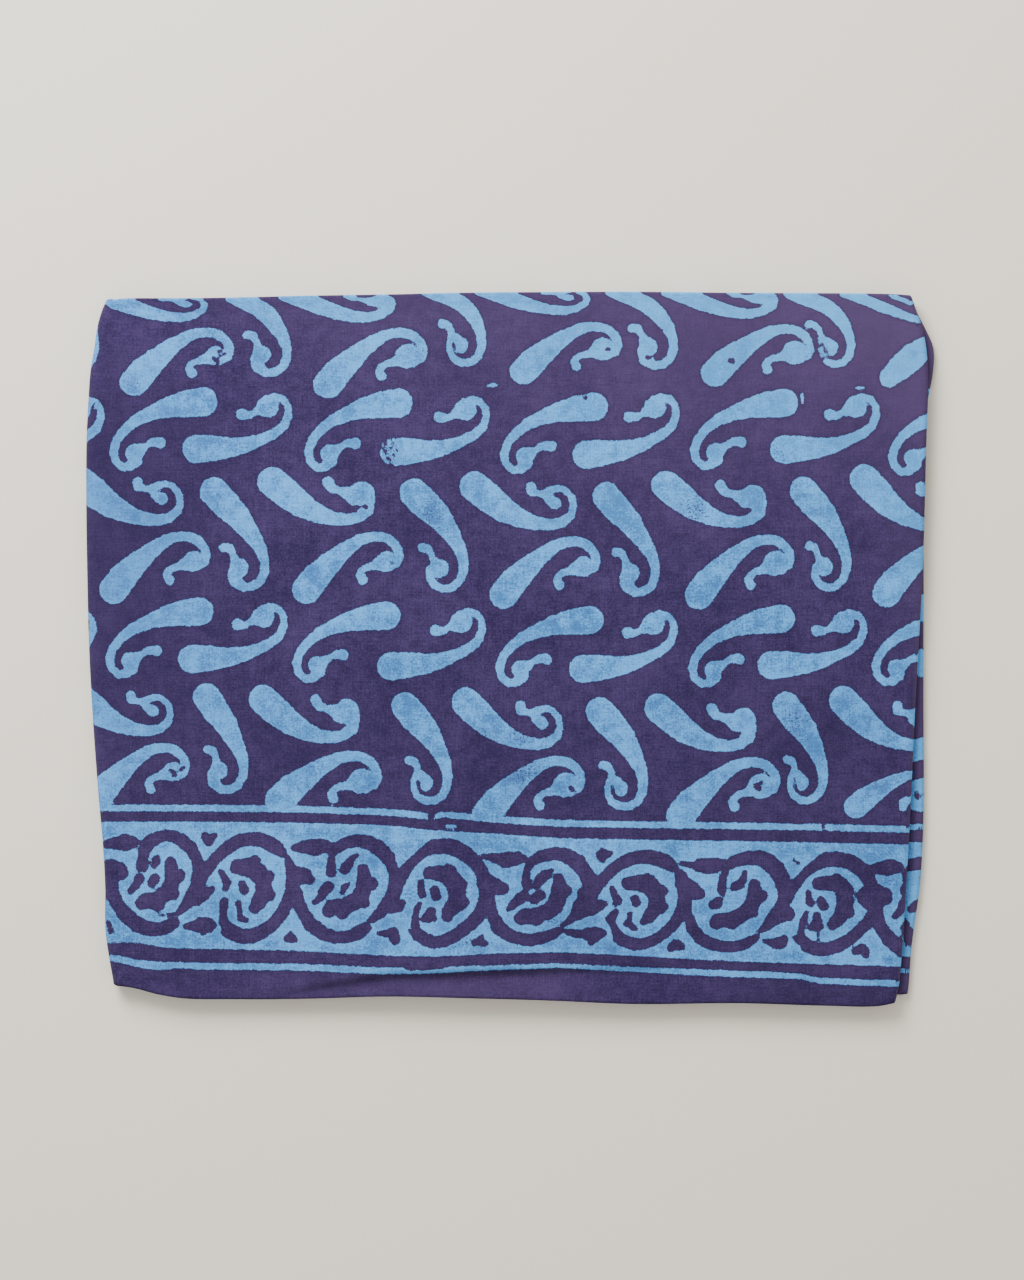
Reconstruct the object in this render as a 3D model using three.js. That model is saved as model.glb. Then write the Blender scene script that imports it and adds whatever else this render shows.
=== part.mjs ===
import * as THREE from 'three';

// A length of resist-dyed cotton, doubled selvedge to selvedge and then folded twice like a book.
// Millimetres. +X runs to the right of the front panel, +Y to its top fold and +Z up from the
// table. The origin is under the middle of the stack, on the table.

const clothThickness = 1.0;
const plyPitch = 1.6; // from the middle of one ply to the middle of the next
const panelPitch = 2 * plyPitch; // a panel is two plies
const halfTurnSteps = 5; // faces around a tight fold
const spineSteps = 8; // faces around the last fold, which wraps the whole stack
const indigo = 0x443c6c;

// The four panels, from the table up. outerSide is 1 where the outer face of the doubled cloth
// looks up. The insets say how far a panel stops short of the front panel's top fold and hem,
// wave and waves how far and how slowly that hem wanders, and freeInset how far a cut end stays
// inside the last fold.
const panels = {
  base: { level: 0, outerSide: -1, topInset: 1.6, hemInset: 3.9, wave: 0.7, waves: 27 },
  third: { level: 1, outerSide: 1, topInset: 2.6, hemInset: 4.6, wave: 0.9, waves: 37 },
  second: { level: 2, outerSide: -1, topInset: 1.9, hemInset: 3.4, wave: 0.8, waves: 31 },
  front: { level: 3, outerSide: 1, topInset: 0, hemInset: 0, wave: 0, waves: 1 },
};
panels.third.freeInset = 15;
panels.second.freeInset = 19;
const freeWander = 2;

// Where the outermost cloth lies across the stack: the last fold at the left, and at the right
// the fold under the front panel and the one behind it, which shows past it in places.
const sideEdges = [
  { y: -228, spine: -253.0, frontFold: 246.2, rearFold: 254.6 },
  { y: -214, spine: -254.4, frontFold: 248.8, rearFold: 255.8 },
  { y: -197, spine: -257.3, frontFold: 250.3, rearFold: 257.0 },
  { y: -180, spine: -259.7, frontFold: 251.6, rearFold: 258.6 },
  { y: -154, spine: -259.8, frontFold: 253.1, rearFold: 261.9 },
  { y: -128, spine: -261.1, frontFold: 254.7, rearFold: 263.7 },
  { y: -90, spine: -264.4, frontFold: 256.6, rearFold: 264.6 },
  { y: -45, spine: -267.7, frontFold: 258.6, rearFold: 264.9 },
  { y: 0, spine: -270.1, frontFold: 261.1, rearFold: 265.2 },
  { y: 50, spine: -271.4, frontFold: 263.8, rearFold: 265.3 },
  { y: 96, spine: -272.0, frontFold: 265.3, rearFold: 264.7 },
  { y: 134, spine: -271.8, frontFold: 266.2, rearFold: 265.4 },
  { y: 160, spine: -270.6, frontFold: 267.2, rearFold: 268.0 },
  { y: 179, spine: -269.2, frontFold: 267.2, rearFold: 271.4 },
  { y: 194, spine: -266.6, frontFold: 266.0, rearFold: 271.4 },
  { y: 206, spine: -265.0, frontFold: 263.6, rearFold: 266.2 },
  { y: 217, spine: -264.0, frontFold: 259.7, rearFold: 260.6 },
  { y: 232, spine: -261.5, frontFold: 255.6, rearFold: 255.9 },
];

// Where the front panel ends at its top fold and at its hem.
const topAndHem = [
  { x: -268, top: 222.6, hem: -213.6 },
  { x: -260, top: 223.7, hem: -213.8 },
  { x: -252, top: 224.5, hem: -215.0 },
  { x: -240, top: 225.0, hem: -216.8 },
  { x: -227, top: 225.0, hem: -220.4 },
  { x: -210, top: 225.0, hem: -223.2 },
  { x: -180, top: 225.4, hem: -223.8 },
  { x: -130, top: 226.6, hem: -223.5 },
  { x: -80, top: 227.4, hem: -221.9 },
  { x: -30, top: 228.5, hem: -222.9 },
  { x: 20, top: 228.9, hem: -224.3 },
  { x: 80, top: 229.1, hem: -226.8 },
  { x: 150, top: 228.4, hem: -226.3 },
  { x: 205, top: 228.2, hem: -228.0 },
  { x: 236, top: 227.9, hem: -228.2 },
  { x: 247, top: 227.5, hem: -226.2 },
  { x: 256, top: 226.9, hem: -225.6 },
  { x: 264, top: 226.3, hem: -225.2 },
];

// How much each ply shares the swells of the top one, from the table up.
const plyLoft = [0, 0, 0.01, 0.03, 0.06, 0.12, 0.5, 1];

// Broad soft swells of the top ply. turn is in degrees from +X, and the lengths are to where
// a swell has mostly died away.
const swells = [
  { x: 40, y: -140, along: 150, across: 34, turn: 34, height: 2.0 },
  { x: 120, y: 70, along: 150, across: 80, turn: 18, height: 1.1 },
  { x: -130, y: 40, along: 120, across: 90, turn: 80, height: 0.9 },
  { x: -60, y: -75, along: 140, across: 30, turn: 4, height: 0.7 },
  { x: 165, y: -205, along: 60, across: 40, turn: 75, height: 1.2 },
];

// The wrinkle that the top ply makes by itself along the hem: it rides up to a crest and drops
// steeply to a crease, which starts at the hem and climbs to the right until it fades out.
const wrinkle = [
  { x: -170, crease: -226, height: 0 },
  { x: -130, crease: -221, height: 1.2 },
  { x: -90, crease: -214, height: 3.2 },
  { x: -40, crease: -207.5, height: 4.6 },
  { x: 10, crease: -204.5, height: 4.8 },
  { x: 50, crease: -203.2, height: 3.2 },
  { x: 90, crease: -201.5, height: 1.0 },
  { x: 125, crease: -200, height: 0 },
];
const wrinkleDrop = 9; // from the crease up to the crest
const wrinkleTail = 42; // from the crest to flat cloth
const hemLift = 0.45; // the hem's rise below the crease, as a share of the crest's height

// Samples along a panel, from its left end to its right one, and down the doubled cloth from
// the hem (0) to the top fold (1).
const frontSamples = [
  0, 0.02, 0.045, 0.075, 0.12, 0.18, 0.24, 0.3, 0.36, 0.42, 0.48, 0.54, 0.6, 0.67, 0.75, 0.84, 0.92, 0.97, 1,
];
const hiddenSamples = [0, 0.06, 0.22, 0.4, 0.58, 0.76, 0.92, 0.985, 1];
const hemSamples = [0, 0.013, 0.025, 0.036, 0.048];
const plySamples = [0.062, 0.082, 0.11, 0.15, 0.21, 0.3, 0.4, 0.5, 0.61, 0.72, 0.8, 0.86, 0.905, 0.94, 0.968, 0.988];
const innerHemSamples = [0.034, 0.009];

// A smooth curve through one column of a table.
function curveThrough(rows, key, value) {
  const curve = new THREE.CubicInterpolant(rows.map((row) => row[key]), rows.map((row) => row[value]), 1);
  return (at) => curve.evaluate(at)[0];
}

const spineEdge = curveThrough(sideEdges, 'y', 'spine');
const frontFoldEdge = curveThrough(sideEdges, 'y', 'frontFold');
const rearFoldEdge = curveThrough(sideEdges, 'y', 'rearFold');
const topEdge = curveThrough(topAndHem, 'x', 'top');
const hemEdge = curveThrough(topAndHem, 'x', 'hem');
const creaseLine = curveThrough(wrinkle, 'x', 'crease');
const wrinkleHeight = curveThrough(wrinkle, 'x', 'height');

const { lerp, smoothstep, degToRad } = THREE.MathUtils;
const halfThickness = clothThickness / 2;
const hairpinRadius = plyPitch / 2;
const foldRadius = panelPitch / 2; // to the middle of the doubled cloth
const spineRadius = 1.5 * panelPitch;
const foldReach = foldRadius + hairpinRadius + halfThickness; // to the outer face of the fold
const spineReach = spineRadius + hairpinRadius + halfThickness;
const hemLevel = -222;
const topLevel = 224;

// How fast an edge leans off its axis, as a share of the way along it.
const edgeSlope = (edge, at) => (edge(at + 1) - edge(at - 1)) / 2;

const panelHeight = (panel) => halfThickness + hairpinRadius + panel.level * panelPitch;

// How far a ply rises over its place in a flat stack. The rise dies out towards the folds.
function unevenness(ply, x, y) {
  let rise = 0;
  for (const swell of swells) {
    const turn = degToRad(swell.turn);
    const along = ((x - swell.x) * Math.cos(turn) + (y - swell.y) * Math.sin(turn)) / swell.along;
    const across = ((y - swell.y) * Math.cos(turn) - (x - swell.x) * Math.sin(turn)) / swell.across;
    rise += swell.height * Math.exp(-2 * (along * along + across * across));
  }
  rise *= plyLoft[ply];
  if (ply === plyLoft.length - 1) {
    const past = y - creaseLine(x);
    const crest = smoothstep(past, 0, wrinkleDrop) - smoothstep(past, wrinkleDrop, wrinkleDrop + wrinkleTail);
    const hem = hemLift * smoothstep(-past, 2, 14);
    rise += Math.max(0, wrinkleHeight(x)) * (crest + hem);
  }
  const fromSpine = smoothstep(x - spineEdge(y), 14, 60);
  const fromFold = smoothstep(frontFoldEdge(y) - x, 14, 60);
  return rise * fromSpine * fromFold * smoothstep(topLevel - y, 10, 55);
}

// The columns of the doubled cloth's section: b runs from the hem (0) to the top fold (1),
// offset is the distance outward from the panel's middle, and reach goes on past b = 1.
function sectionColumns() {
  const columns = [...hemSamples, ...plySamples].map((b) => ({ b, offset: hairpinRadius, reach: 0 }));
  for (let step = 0; step <= halfTurnSteps; step++) {
    const angle = (Math.PI * step) / halfTurnSteps;
    columns.push({ b: 1, offset: hairpinRadius * Math.cos(angle), reach: hairpinRadius * Math.sin(angle) });
  }
  const inner = [...plySamples.toReversed(), ...innerHemSamples];
  return columns.concat(inner.map((b) => ({ b, offset: -hairpinRadius, reach: 0 })));
}

function columnY(panel, hemX, topX, column) {
  const hem = hemEdge(hemX) + panel.hemInset + panel.wave * Math.sin(hemX / panel.waves + panel.level);
  const top = topEdge(topX) - panel.topInset - hairpinRadius - halfThickness;
  return lerp(hem, top, column.b);
}

// The place a share of the way across a panel, from its left end to its right fold.
function panelX(panel, a, y) {
  const fold = panel.level >= 2 ? frontFoldEdge(y) : rearFoldEdge(y);
  const inset = panel.freeInset ? panel.freeInset + freeWander * Math.sin(y / 45 + panel.level) : spineReach;
  return lerp(spineEdge(y) + inset, fold - foldReach, a);
}

function panelPoint(panel, a, column) {
  const y = columnY(panel, panelX(panel, a, hemLevel), panelX(panel, a, topLevel), column);
  const x = panelX(panel, a, y);
  const over = new THREE.Vector2(-edgeSlope(topEdge, x), 1).setLength(column.reach);
  const up = panel.outerSide * column.offset;
  const ply = 2 * panel.level + (up > 0 ? 1 : 0);
  return new THREE.Vector3(x + over.x, y + over.y, panelHeight(panel) + up + unevenness(ply, x, y));
}

// A fold between two panels. angle goes from 0 on the upper panel to pi on the lower one.
function turnPoint(upper, lower, edge, side, angle, column) {
  const turnRadius = (panelHeight(upper) - panelHeight(lower)) / 2;
  const out = side * turnRadius * Math.sin(angle);
  const ends = [edge(hemLevel) + out, edge(topLevel) + out];
  const down = (1 - Math.cos(angle)) / 2;
  const y = lerp(columnY(upper, ...ends, column), columnY(lower, ...ends, column), down);
  const lean = edgeSlope(edge, y);
  const overLean = lerp(-edgeSlope(topEdge, edge(topLevel)), lean, Math.sin(angle));
  const over = new THREE.Vector2(overLean, 1).setLength(column.reach);
  const radius = turnRadius + column.offset;
  const around = new THREE.Vector2(side, -side * lean).setLength(radius * Math.sin(angle)).add(over);
  const middle = (panelHeight(upper) + panelHeight(lower)) / 2;
  return new THREE.Vector3(edge(y) + around.x, y + around.y, middle + radius * Math.cos(angle));
}

// The cloth's middle surface, one row of points for each station from one cut end to the other:
// second panel, front fold, front panel, last fold, base panel, rear fold, third panel.
function middleSurface() {
  const columns = sectionColumns();
  const rows = [];
  const addPanel = (panel, samples) => {
    for (const a of samples) rows.push(columns.map((column) => panelPoint(panel, a, column)));
  };
  const addTurn = (upper, lower, edge, side, steps, downward) => {
    for (let step = 1; step < steps; step++) {
      const angle = Math.PI * (downward ? step / steps : 1 - step / steps);
      rows.push(columns.map((column) => turnPoint(upper, lower, edge, side, angle, column)));
    }
  };
  const insideFront = (y) => frontFoldEdge(y) - foldReach;
  const insideRear = (y) => rearFoldEdge(y) - foldReach;
  const insideSpine = (y) => spineEdge(y) + spineReach;
  addPanel(panels.second, hiddenSamples);
  addTurn(panels.front, panels.second, insideFront, 1, halfTurnSteps, false);
  addPanel(panels.front, frontSamples.toReversed());
  addTurn(panels.front, panels.base, insideSpine, -1, spineSteps, true);
  addPanel(panels.base, hiddenSamples);
  addTurn(panels.third, panels.base, insideRear, 1, halfTurnSteps, false);
  addPanel(panels.third, hiddenSamples.toReversed());
  return rows;
}

// Gives the middle surface its thickness and closes it along the selvedges and the cut ends.
function thicken(rows) {
  const stations = rows.length;
  const columns = rows[0].length;
  const positions = [];
  for (const face of [1, -1]) {
    for (let i = 0; i < stations; i++) {
      for (let j = 0; j < columns; j++) {
        const before = rows[Math.max(i - 1, 0)][j];
        const after = rows[Math.min(i + 1, stations - 1)][j];
        const below = rows[i][Math.max(j - 1, 0)];
        const above = rows[i][Math.min(j + 1, columns - 1)];
        const normal = after.clone().sub(before).cross(above.clone().sub(below)).normalize();
        positions.push(...rows[i][j].clone().addScaledVector(normal, face * halfThickness).toArray());
      }
    }
  }
  const inner = (i, j) => i * columns + j;
  const outer = (i, j) => stations * columns + inner(i, j);
  const index = [];
  const addQuad = (p, q, r, s) => index.push(p, q, r, p, r, s);
  for (let i = 0; i < stations - 1; i++) {
    for (let j = 0; j < columns - 1; j++) {
      addQuad(inner(i, j), inner(i + 1, j), inner(i + 1, j + 1), inner(i, j + 1));
      addQuad(outer(i, j), outer(i, j + 1), outer(i + 1, j + 1), outer(i + 1, j));
    }
    addQuad(outer(i, 0), outer(i + 1, 0), inner(i + 1, 0), inner(i, 0));
    const last = columns - 1;
    addQuad(inner(i, last), inner(i + 1, last), outer(i + 1, last), outer(i, last));
  }
  for (let j = 0; j < columns - 1; j++) {
    const last = stations - 1;
    addQuad(inner(0, j), inner(0, j + 1), outer(0, j + 1), outer(0, j));
    addQuad(outer(last, j), outer(last, j + 1), inner(last, j + 1), inner(last, j));
  }
  const geometry = new THREE.BufferGeometry();
  geometry.setAttribute('position', new THREE.Float32BufferAttribute(positions, 3));
  geometry.setIndex(index);
  geometry.computeBoundingBox();
  const middle = geometry.boundingBox.getCenter(new THREE.Vector3());
  geometry.translate(-middle.x, -middle.y, -geometry.boundingBox.min.z);
  geometry.computeVertexNormals();
  return geometry;
}

const cottonMaterial = new THREE.MeshStandardMaterial({ color: indigo, roughness: 0.9, metalness: 0 });

const cloth = new THREE.Mesh(thicken(middleSurface()), cottonMaterial);
cloth.name = 'cloth';

const group = new THREE.Group();
group.add(cloth);

export default group;
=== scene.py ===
import math
import random
import bpy
import numpy as np
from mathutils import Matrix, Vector
from mathutils.geometry import delaunay_2d_cdt


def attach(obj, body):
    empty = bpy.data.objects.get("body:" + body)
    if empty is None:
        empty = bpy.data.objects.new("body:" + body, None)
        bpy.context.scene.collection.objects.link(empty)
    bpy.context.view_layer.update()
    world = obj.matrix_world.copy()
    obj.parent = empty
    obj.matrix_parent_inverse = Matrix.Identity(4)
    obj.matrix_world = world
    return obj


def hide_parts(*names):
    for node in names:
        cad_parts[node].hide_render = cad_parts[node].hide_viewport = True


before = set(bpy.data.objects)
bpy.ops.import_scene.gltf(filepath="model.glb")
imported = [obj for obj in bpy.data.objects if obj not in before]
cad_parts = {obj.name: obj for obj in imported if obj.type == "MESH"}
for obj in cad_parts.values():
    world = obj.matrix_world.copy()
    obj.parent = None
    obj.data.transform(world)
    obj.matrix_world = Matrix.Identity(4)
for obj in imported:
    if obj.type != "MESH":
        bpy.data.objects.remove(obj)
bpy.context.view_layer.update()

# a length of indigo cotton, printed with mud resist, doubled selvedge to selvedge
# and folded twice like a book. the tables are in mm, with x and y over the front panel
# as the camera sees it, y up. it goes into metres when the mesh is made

chance = random.Random(41)
mm = 0.001
farOutside = -99.0  # the distance to a print that has nothing near


# the panels from the table up, as in the cad: which way the outer side looks, how far the
# panel stops short of the front one, how the hem wanders, and how far a cut end stops short
# of the last fold
panels = {
    "base":   {"level": 0, "side": -1, "topInset": 1.6, "hemInset": 3.9, "wave": 0.7, "waves": 27, "freeInset": 0},
    "third":  {"level": 1, "side": 1, "topInset": 2.6, "hemInset": 4.6, "wave": 0.9, "waves": 37, "freeInset": 15},
    "second": {"level": 2, "side": -1, "topInset": 1.9, "hemInset": 3.4, "wave": 0.8, "waves": 31, "freeInset": 19},
    "front":  {"level": 3, "side": 1, "topInset": 0, "hemInset": 0, "wave": 0, "waves": 1, "freeInset": 0},
}

# y, last fold at the left, front fold at the right, rear fold behind it. fitted once more to
# what shows: the last fold lies 0.7 further out than the cad's and is cut back at the upper
# corner, and the rear fold lies up to 0.8 further out
sideEdges = [
    (-228, -253.7, 246.2, 254.6), (-214, -255.1, 248.8, 255.8), (-197, -258.0, 250.3, 257.0),
    (-180, -260.4, 251.6, 258.9), (-154, -260.5, 253.1, 262.6), (-128, -261.8, 254.7, 264.5),
    (-90, -265.1, 256.6, 265.4), (-45, -268.4, 258.6, 265.2), (0, -270.8, 261.1, 265.2),
    (50, -272.1, 263.8, 265.3), (96, -272.7, 265.3, 264.7), (134, -272.5, 266.2, 265.4),
    (160, -271.3, 267.2, 268.0), (179, -269.9, 267.2, 271.4), (194, -267.3, 266.0, 271.4),
    (206, -265.7, 263.6, 266.2), (217, -262.4, 259.7, 260.6), (232, -256.2, 255.6, 255.9),
]

# x, top fold, hem
topAndHem = [
    (-268, 217.0, -213.6), (-260, 221.8, -213.8), (-252, 224.3, -215.0), (-240, 225.0, -216.8),
    (-227, 225.0, -220.4), (-210, 225.0, -223.2), (-180, 225.4, -223.8), (-130, 226.6, -223.5),
    (-80, 227.4, -221.9), (-30, 228.5, -222.9), (20, 228.9, -224.3), (80, 229.1, -226.8),
    (150, 228.4, -226.3), (205, 228.2, -228.0), (236, 227.9, -228.2), (247, 227.5, -226.2),
    (256, 226.9, -225.6), (264, 226.3, -225.2),
]

# how much each ply shares the swells of the top one, from the table up
plyLoft = [0, 0, 0.01, 0.03, 0.06, 0.12, 0.5, 1]

# the broad swells: x, y, along, across, turn in degrees, height
swells = [
    (40, -140, 150, 34, 34, 2.0), (120, 70, 150, 80, 18, 1.1), (-130, 40, 120, 90, 80, 0.9),
    (-60, -75, 140, 30, 4, 0.7), (165, -205, 60, 40, 75, 1.2),
]

# x, crease, height of the wrinkle along the hem, steeper here than in the cad
wrinkle = [
    (-170, -226, 0), (-130, -219.4, 2.2), (-109, -215.4, 3.8), (-90, -212.4, 4.4), (-71, -210.6, 4.6),
    (-45, -209.8, 4.7), (-20, -208.9, 4.6), (18, -207.8, 3.9), (57, -207.2, 2.5), (95, -206.5, 1.0),
    (125, -205, 0),
]

folds = {
    "thickness": 1.0, "hairpin": 0.8, "fold": 1.6, "spine": 4.8, "panelPitch": 3.2,
    "hemLevel": -222.0, "topLevel": 224.0, "centreX": -0.27, "centreY": 0.3,
    "wrinkleDrop": 5.5, "wrinkleTail": 42.0, "hemLift": 0.45,
}
foldTurn, spineTurn = folds["fold"], folds["spine"]
topRoll = {"from": 14.0, "gather": 0.05}
foldReach = folds["fold"] + folds["hairpin"] + folds["thickness"] / 2
spineReach = folds["spine"] + folds["hairpin"] + folds["thickness"] / 2


def curveThrough(rows, column):
    # the same smooth curve through a table as the cad has
    at = np.array([row[0] for row in rows], float)
    value = np.array([row[column] for row in rows], float)
    known = np.concatenate([[value[1]], value, [value[-2]]])
    place = np.concatenate([[2 * at[0] - at[1]], at, [2 * at[-1] - at[-2]]])

    def curve(t):
        t = np.clip(t, at[0], at[-1])
        i = np.clip(np.searchsorted(at, t, side="right"), 1, len(at) - 1)
        t0, t1 = place[i], place[i + 1]
        half = (t1 - t0) / 2
        before, after = half / (t0 - place[i - 1]), half / (place[i + 2] - t1)
        p = (t - t0) / (t1 - t0)
        p2, p3 = p * p, p * p * p
        return (known[i - 1] * before * (-p3 + 2 * p2 - p)
                + known[i] * ((1 + before) * p3 + (-1.5 - 2 * before) * p2 + (-0.5 + before) * p + 1)
                + known[i + 1] * ((-1 - after) * p3 + (1.5 + after) * p2 + 0.5 * p)
                + known[i + 2] * after * (p3 - p2))
    return curve


spineEdge = curveThrough(sideEdges, 1)
frontFoldEdge = curveThrough(sideEdges, 2)
rearFoldEdge = curveThrough(sideEdges, 3)
topEdge = curveThrough(topAndHem, 1)
hemEdge = curveThrough(topAndHem, 2)
creaseLine = curveThrough(wrinkle, 1)
wrinkleHeight = curveThrough(wrinkle, 2)


def ease(value, low, high):
    p = np.clip((value - low) / (high - low), 0, 1)
    return p * p * (3 - 2 * p)


def slopeOf(edge, at):
    return (edge(at + 1) - edge(at - 1)) / 2


def insideSpine(y):
    return spineEdge(y) + spineReach


def insideFront(y):
    return frontFoldEdge(y) - foldReach


def insideRear(y):
    return rearFoldEdge(y) - foldReach


def panelHeight(panel):
    return folds["thickness"] / 2 + folds["hairpin"] + panel["level"] * folds["panelPitch"]


# creases pressed or crushed into the front: start, end, how far it sags sideways, its
# half width, its height (a trough is below 0) and how much it breaks up along the way
creases = [
    {"from": (-262, -80.5), "to": (-92, -83), "sag": 1.2, "width": 3.2, "height": 0.38, "uneven": 0.5},
    {"from": (214, -103), "to": (262, -104.5), "sag": 0.6, "width": 3.0, "height": 0.35, "uneven": 0.3},
    {"from": (-246, -202), "to": (-205, -210), "sag": 2.5, "width": 5.5, "height": 1.0, "uneven": 0.3},
    {"from": (-232, -190), "to": (-242, -219), "sag": -2.0, "width": 4.5, "height": -0.55, "uneven": 0.3},
    {"from": (150, -84), "to": (-60, -196), "sag": 14.0, "width": 15.0, "height": 0.8, "uneven": 0.35},
    {"from": (30, -188), "to": (196, -199), "sag": -4.0, "width": 8.0, "height": 0.5, "uneven": 0.5},
    {"from": (-100, -213), "to": (-18, -209), "sag": 3.0, "width": 4.0, "height": -0.7, "uneven": 0.4},
    {"from": (-30, -214), "to": (74, -213.5), "sag": 2.0, "width": 3.5, "height": 0.6, "uneven": 0.5},
    {"from": (-188, 212), "to": (-176, -60), "sag": 5.0, "width": 9.0, "height": 0.28, "uneven": 0.6},
    {"from": (-6, 214), "to": (4, -40), "sag": -6.0, "width": 8.0, "height": 0.25, "uneven": 0.6},
    {"from": (136, 216), "to": (128, -8), "sag": 5.0, "width": 9.0, "height": 0.3, "uneven": 0.6},
    {"from": (-250, 118), "to": (-40, 108), "sag": -5.0, "width": 9.0, "height": -0.3, "uneven": 0.6},
    {"from": (-30, 96), "to": (246, 118), "sag": 6.0, "width": 10.0, "height": 0.3, "uneven": 0.6},
    {"from": (-240, 8), "to": (-150, 40), "sag": 5.0, "width": 9.0, "height": 0.45, "uneven": 0.4},
    {"from": (186, 150), "to": (252, 196), "sag": 5.0, "width": 7.0, "height": 0.45, "uneven": 0.4},
    {"from": (196, 60), "to": (256, 30), "sag": -4.0, "width": 7.0, "height": -0.35, "uneven": 0.4},
    {"from": (-258, -24), "to": (-224, -70), "sag": 4.0, "width": 6.0, "height": -0.35, "uneven": 0.4},
    {"from": (60, 30), "to": (170, -60), "sag": 8.0, "width": 12.0, "height": -0.4, "uneven": 0.4},
]


def creaseRise(x, y):
    rise = np.zeros_like(x)
    for number, crease in enumerate(creases):
        (x0, y0), (x1, y1) = crease["from"], crease["to"]
        length = math.hypot(x1 - x0, y1 - y0)
        dx, dy = (x1 - x0) / length, (y1 - y0) / length
        along = ((x - x0) * dx + (y - y0) * dy) / length
        aside = (y - y0) * dx - (x - x0) * dy
        aside = aside - crease["sag"] * 4 * along * (1 - along) - 0.8 * np.sin(along * length / 11 + number)
        ends = ease(along, -0.04, 0.22) * ease(1 - along, -0.04, 0.26)
        broken = 1 - crease["uneven"] * (0.5 + 0.5 * np.sin(along * length / 17 + 2.3 * number))
        rise += crease["height"] * ends * broken * np.exp(-(aside / crease["width"]) ** 2)
    return rise


def unevenness(ply, x, y):
    rise = np.zeros_like(x)
    for sx, sy, along, across, turn, height in swells:
        c, s = math.cos(math.radians(turn)), math.sin(math.radians(turn))
        u = ((x - sx) * c + (y - sy) * s) / along
        v = ((y - sy) * c - (x - sx) * s) / across
        rise += height * np.exp(-2 * (u * u + v * v))
    rise *= np.array(plyLoft)[ply]
    drop, tail = folds["wrinkleDrop"], folds["wrinkleTail"]
    past = y - creaseLine(x)
    crest = ease(past, 0, drop) - ease(past, drop, drop + tail)
    hem = folds["hemLift"] * ease(-past, 2, 14)
    top = np.maximum(0, wrinkleHeight(x)) * (crest + hem)
    top += creaseRise(x, y) * ease(y - hemEdge(x), -1, 6)
    rise += np.where(ply == 7, top, 0)
    inside = ease(x - spineEdge(y), 14, 60) * ease(frontFoldEdge(y) - x, 14, 60)
    return rise * inside * ease(folds["topLevel"] - y, 10, 55)


def columnY(panel, hemX, topX, share):
    hem = hemEdge(hemX) + panel["hemInset"] + panel["wave"] * np.sin(hemX / panel["waves"] + panel["level"])
    top = topEdge(topX) - panel["topInset"] - folds["hairpin"] - folds["thickness"] / 2
    return hem + (top - hem) * share


def panelX(panel, a, y):
    fold = frontFoldEdge(y) if panel["level"] >= 2 else rearFoldEdge(y)
    inset = panel["freeInset"] + 2 * np.sin(y / 45 + panel["level"]) if panel["freeInset"] else spineReach
    start = spineEdge(y) + inset
    return start + (fold - foldReach - start) * a


# the cloth laid flat, as a chain of runs from one cut end to the other. the widths are
# only for spreading the points: a turn gets more room than its true length
runs = [
    {"panel": "second", "room": 500.0, "flip": False},
    {"turn": ("front", "second"), "edge": insideFront, "side": 1, "radius": foldTurn, "room": 14.0, "flip": True},
    {"panel": "front", "room": 520.0, "flip": True},
    {"turn": ("front", "base"), "edge": insideSpine, "side": -1, "radius": spineTurn, "room": 20.0, "flip": False},
    {"panel": "base", "room": 520.0, "flip": False},
    {"turn": ("third", "base"), "edge": insideRear, "side": 1, "radius": foldTurn, "room": 14.0, "flip": True},
    {"panel": "third", "room": 505.0, "flip": True},
]
plyRoom, hairpinRoom = 446.0, 10.0
alongStarts = np.concatenate([[0], np.cumsum([run["room"] for run in runs])])
clothRoom = {"along": alongStarts[-1], "across": 2 * plyRoom + hairpinRoom}


def sectionOf(v):
    # share of the way up the doubled cloth, offset outward and reach past the top fold
    angle = np.clip((v - plyRoom) / hairpinRoom, 0, 1) * math.pi
    share = np.clip(np.where(v <= plyRoom, v, clothRoom["across"] - v) / plyRoom, 0, 1)
    offset = folds["hairpin"] * np.cos(angle)
    reach = np.where((v > plyRoom) & (v < plyRoom + hairpinRoom), folds["hairpin"] * np.sin(angle), 0)
    return share, offset, reach, angle


def scaled(x, y, length):
    size = np.hypot(x, y)
    size = np.where(size < 1e-9, 1, size)
    return x / size * length, y / size * length


def behindFront(x, y):
    # where the panel behind the front one, at the rear fold, lies on the flat cloth
    return 2 * insideSpine(y) - math.pi * (spineTurn + foldTurn) - 2 * insideRear(y) + x


def printHeight(y, foldTop):
    # the print runs together towards the top fold, where the cloth rolls away
    rolled = np.maximum(0, y - foldTop + topRoll["from"])
    return y + topRoll["gather"] * rolled * rolled


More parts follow.
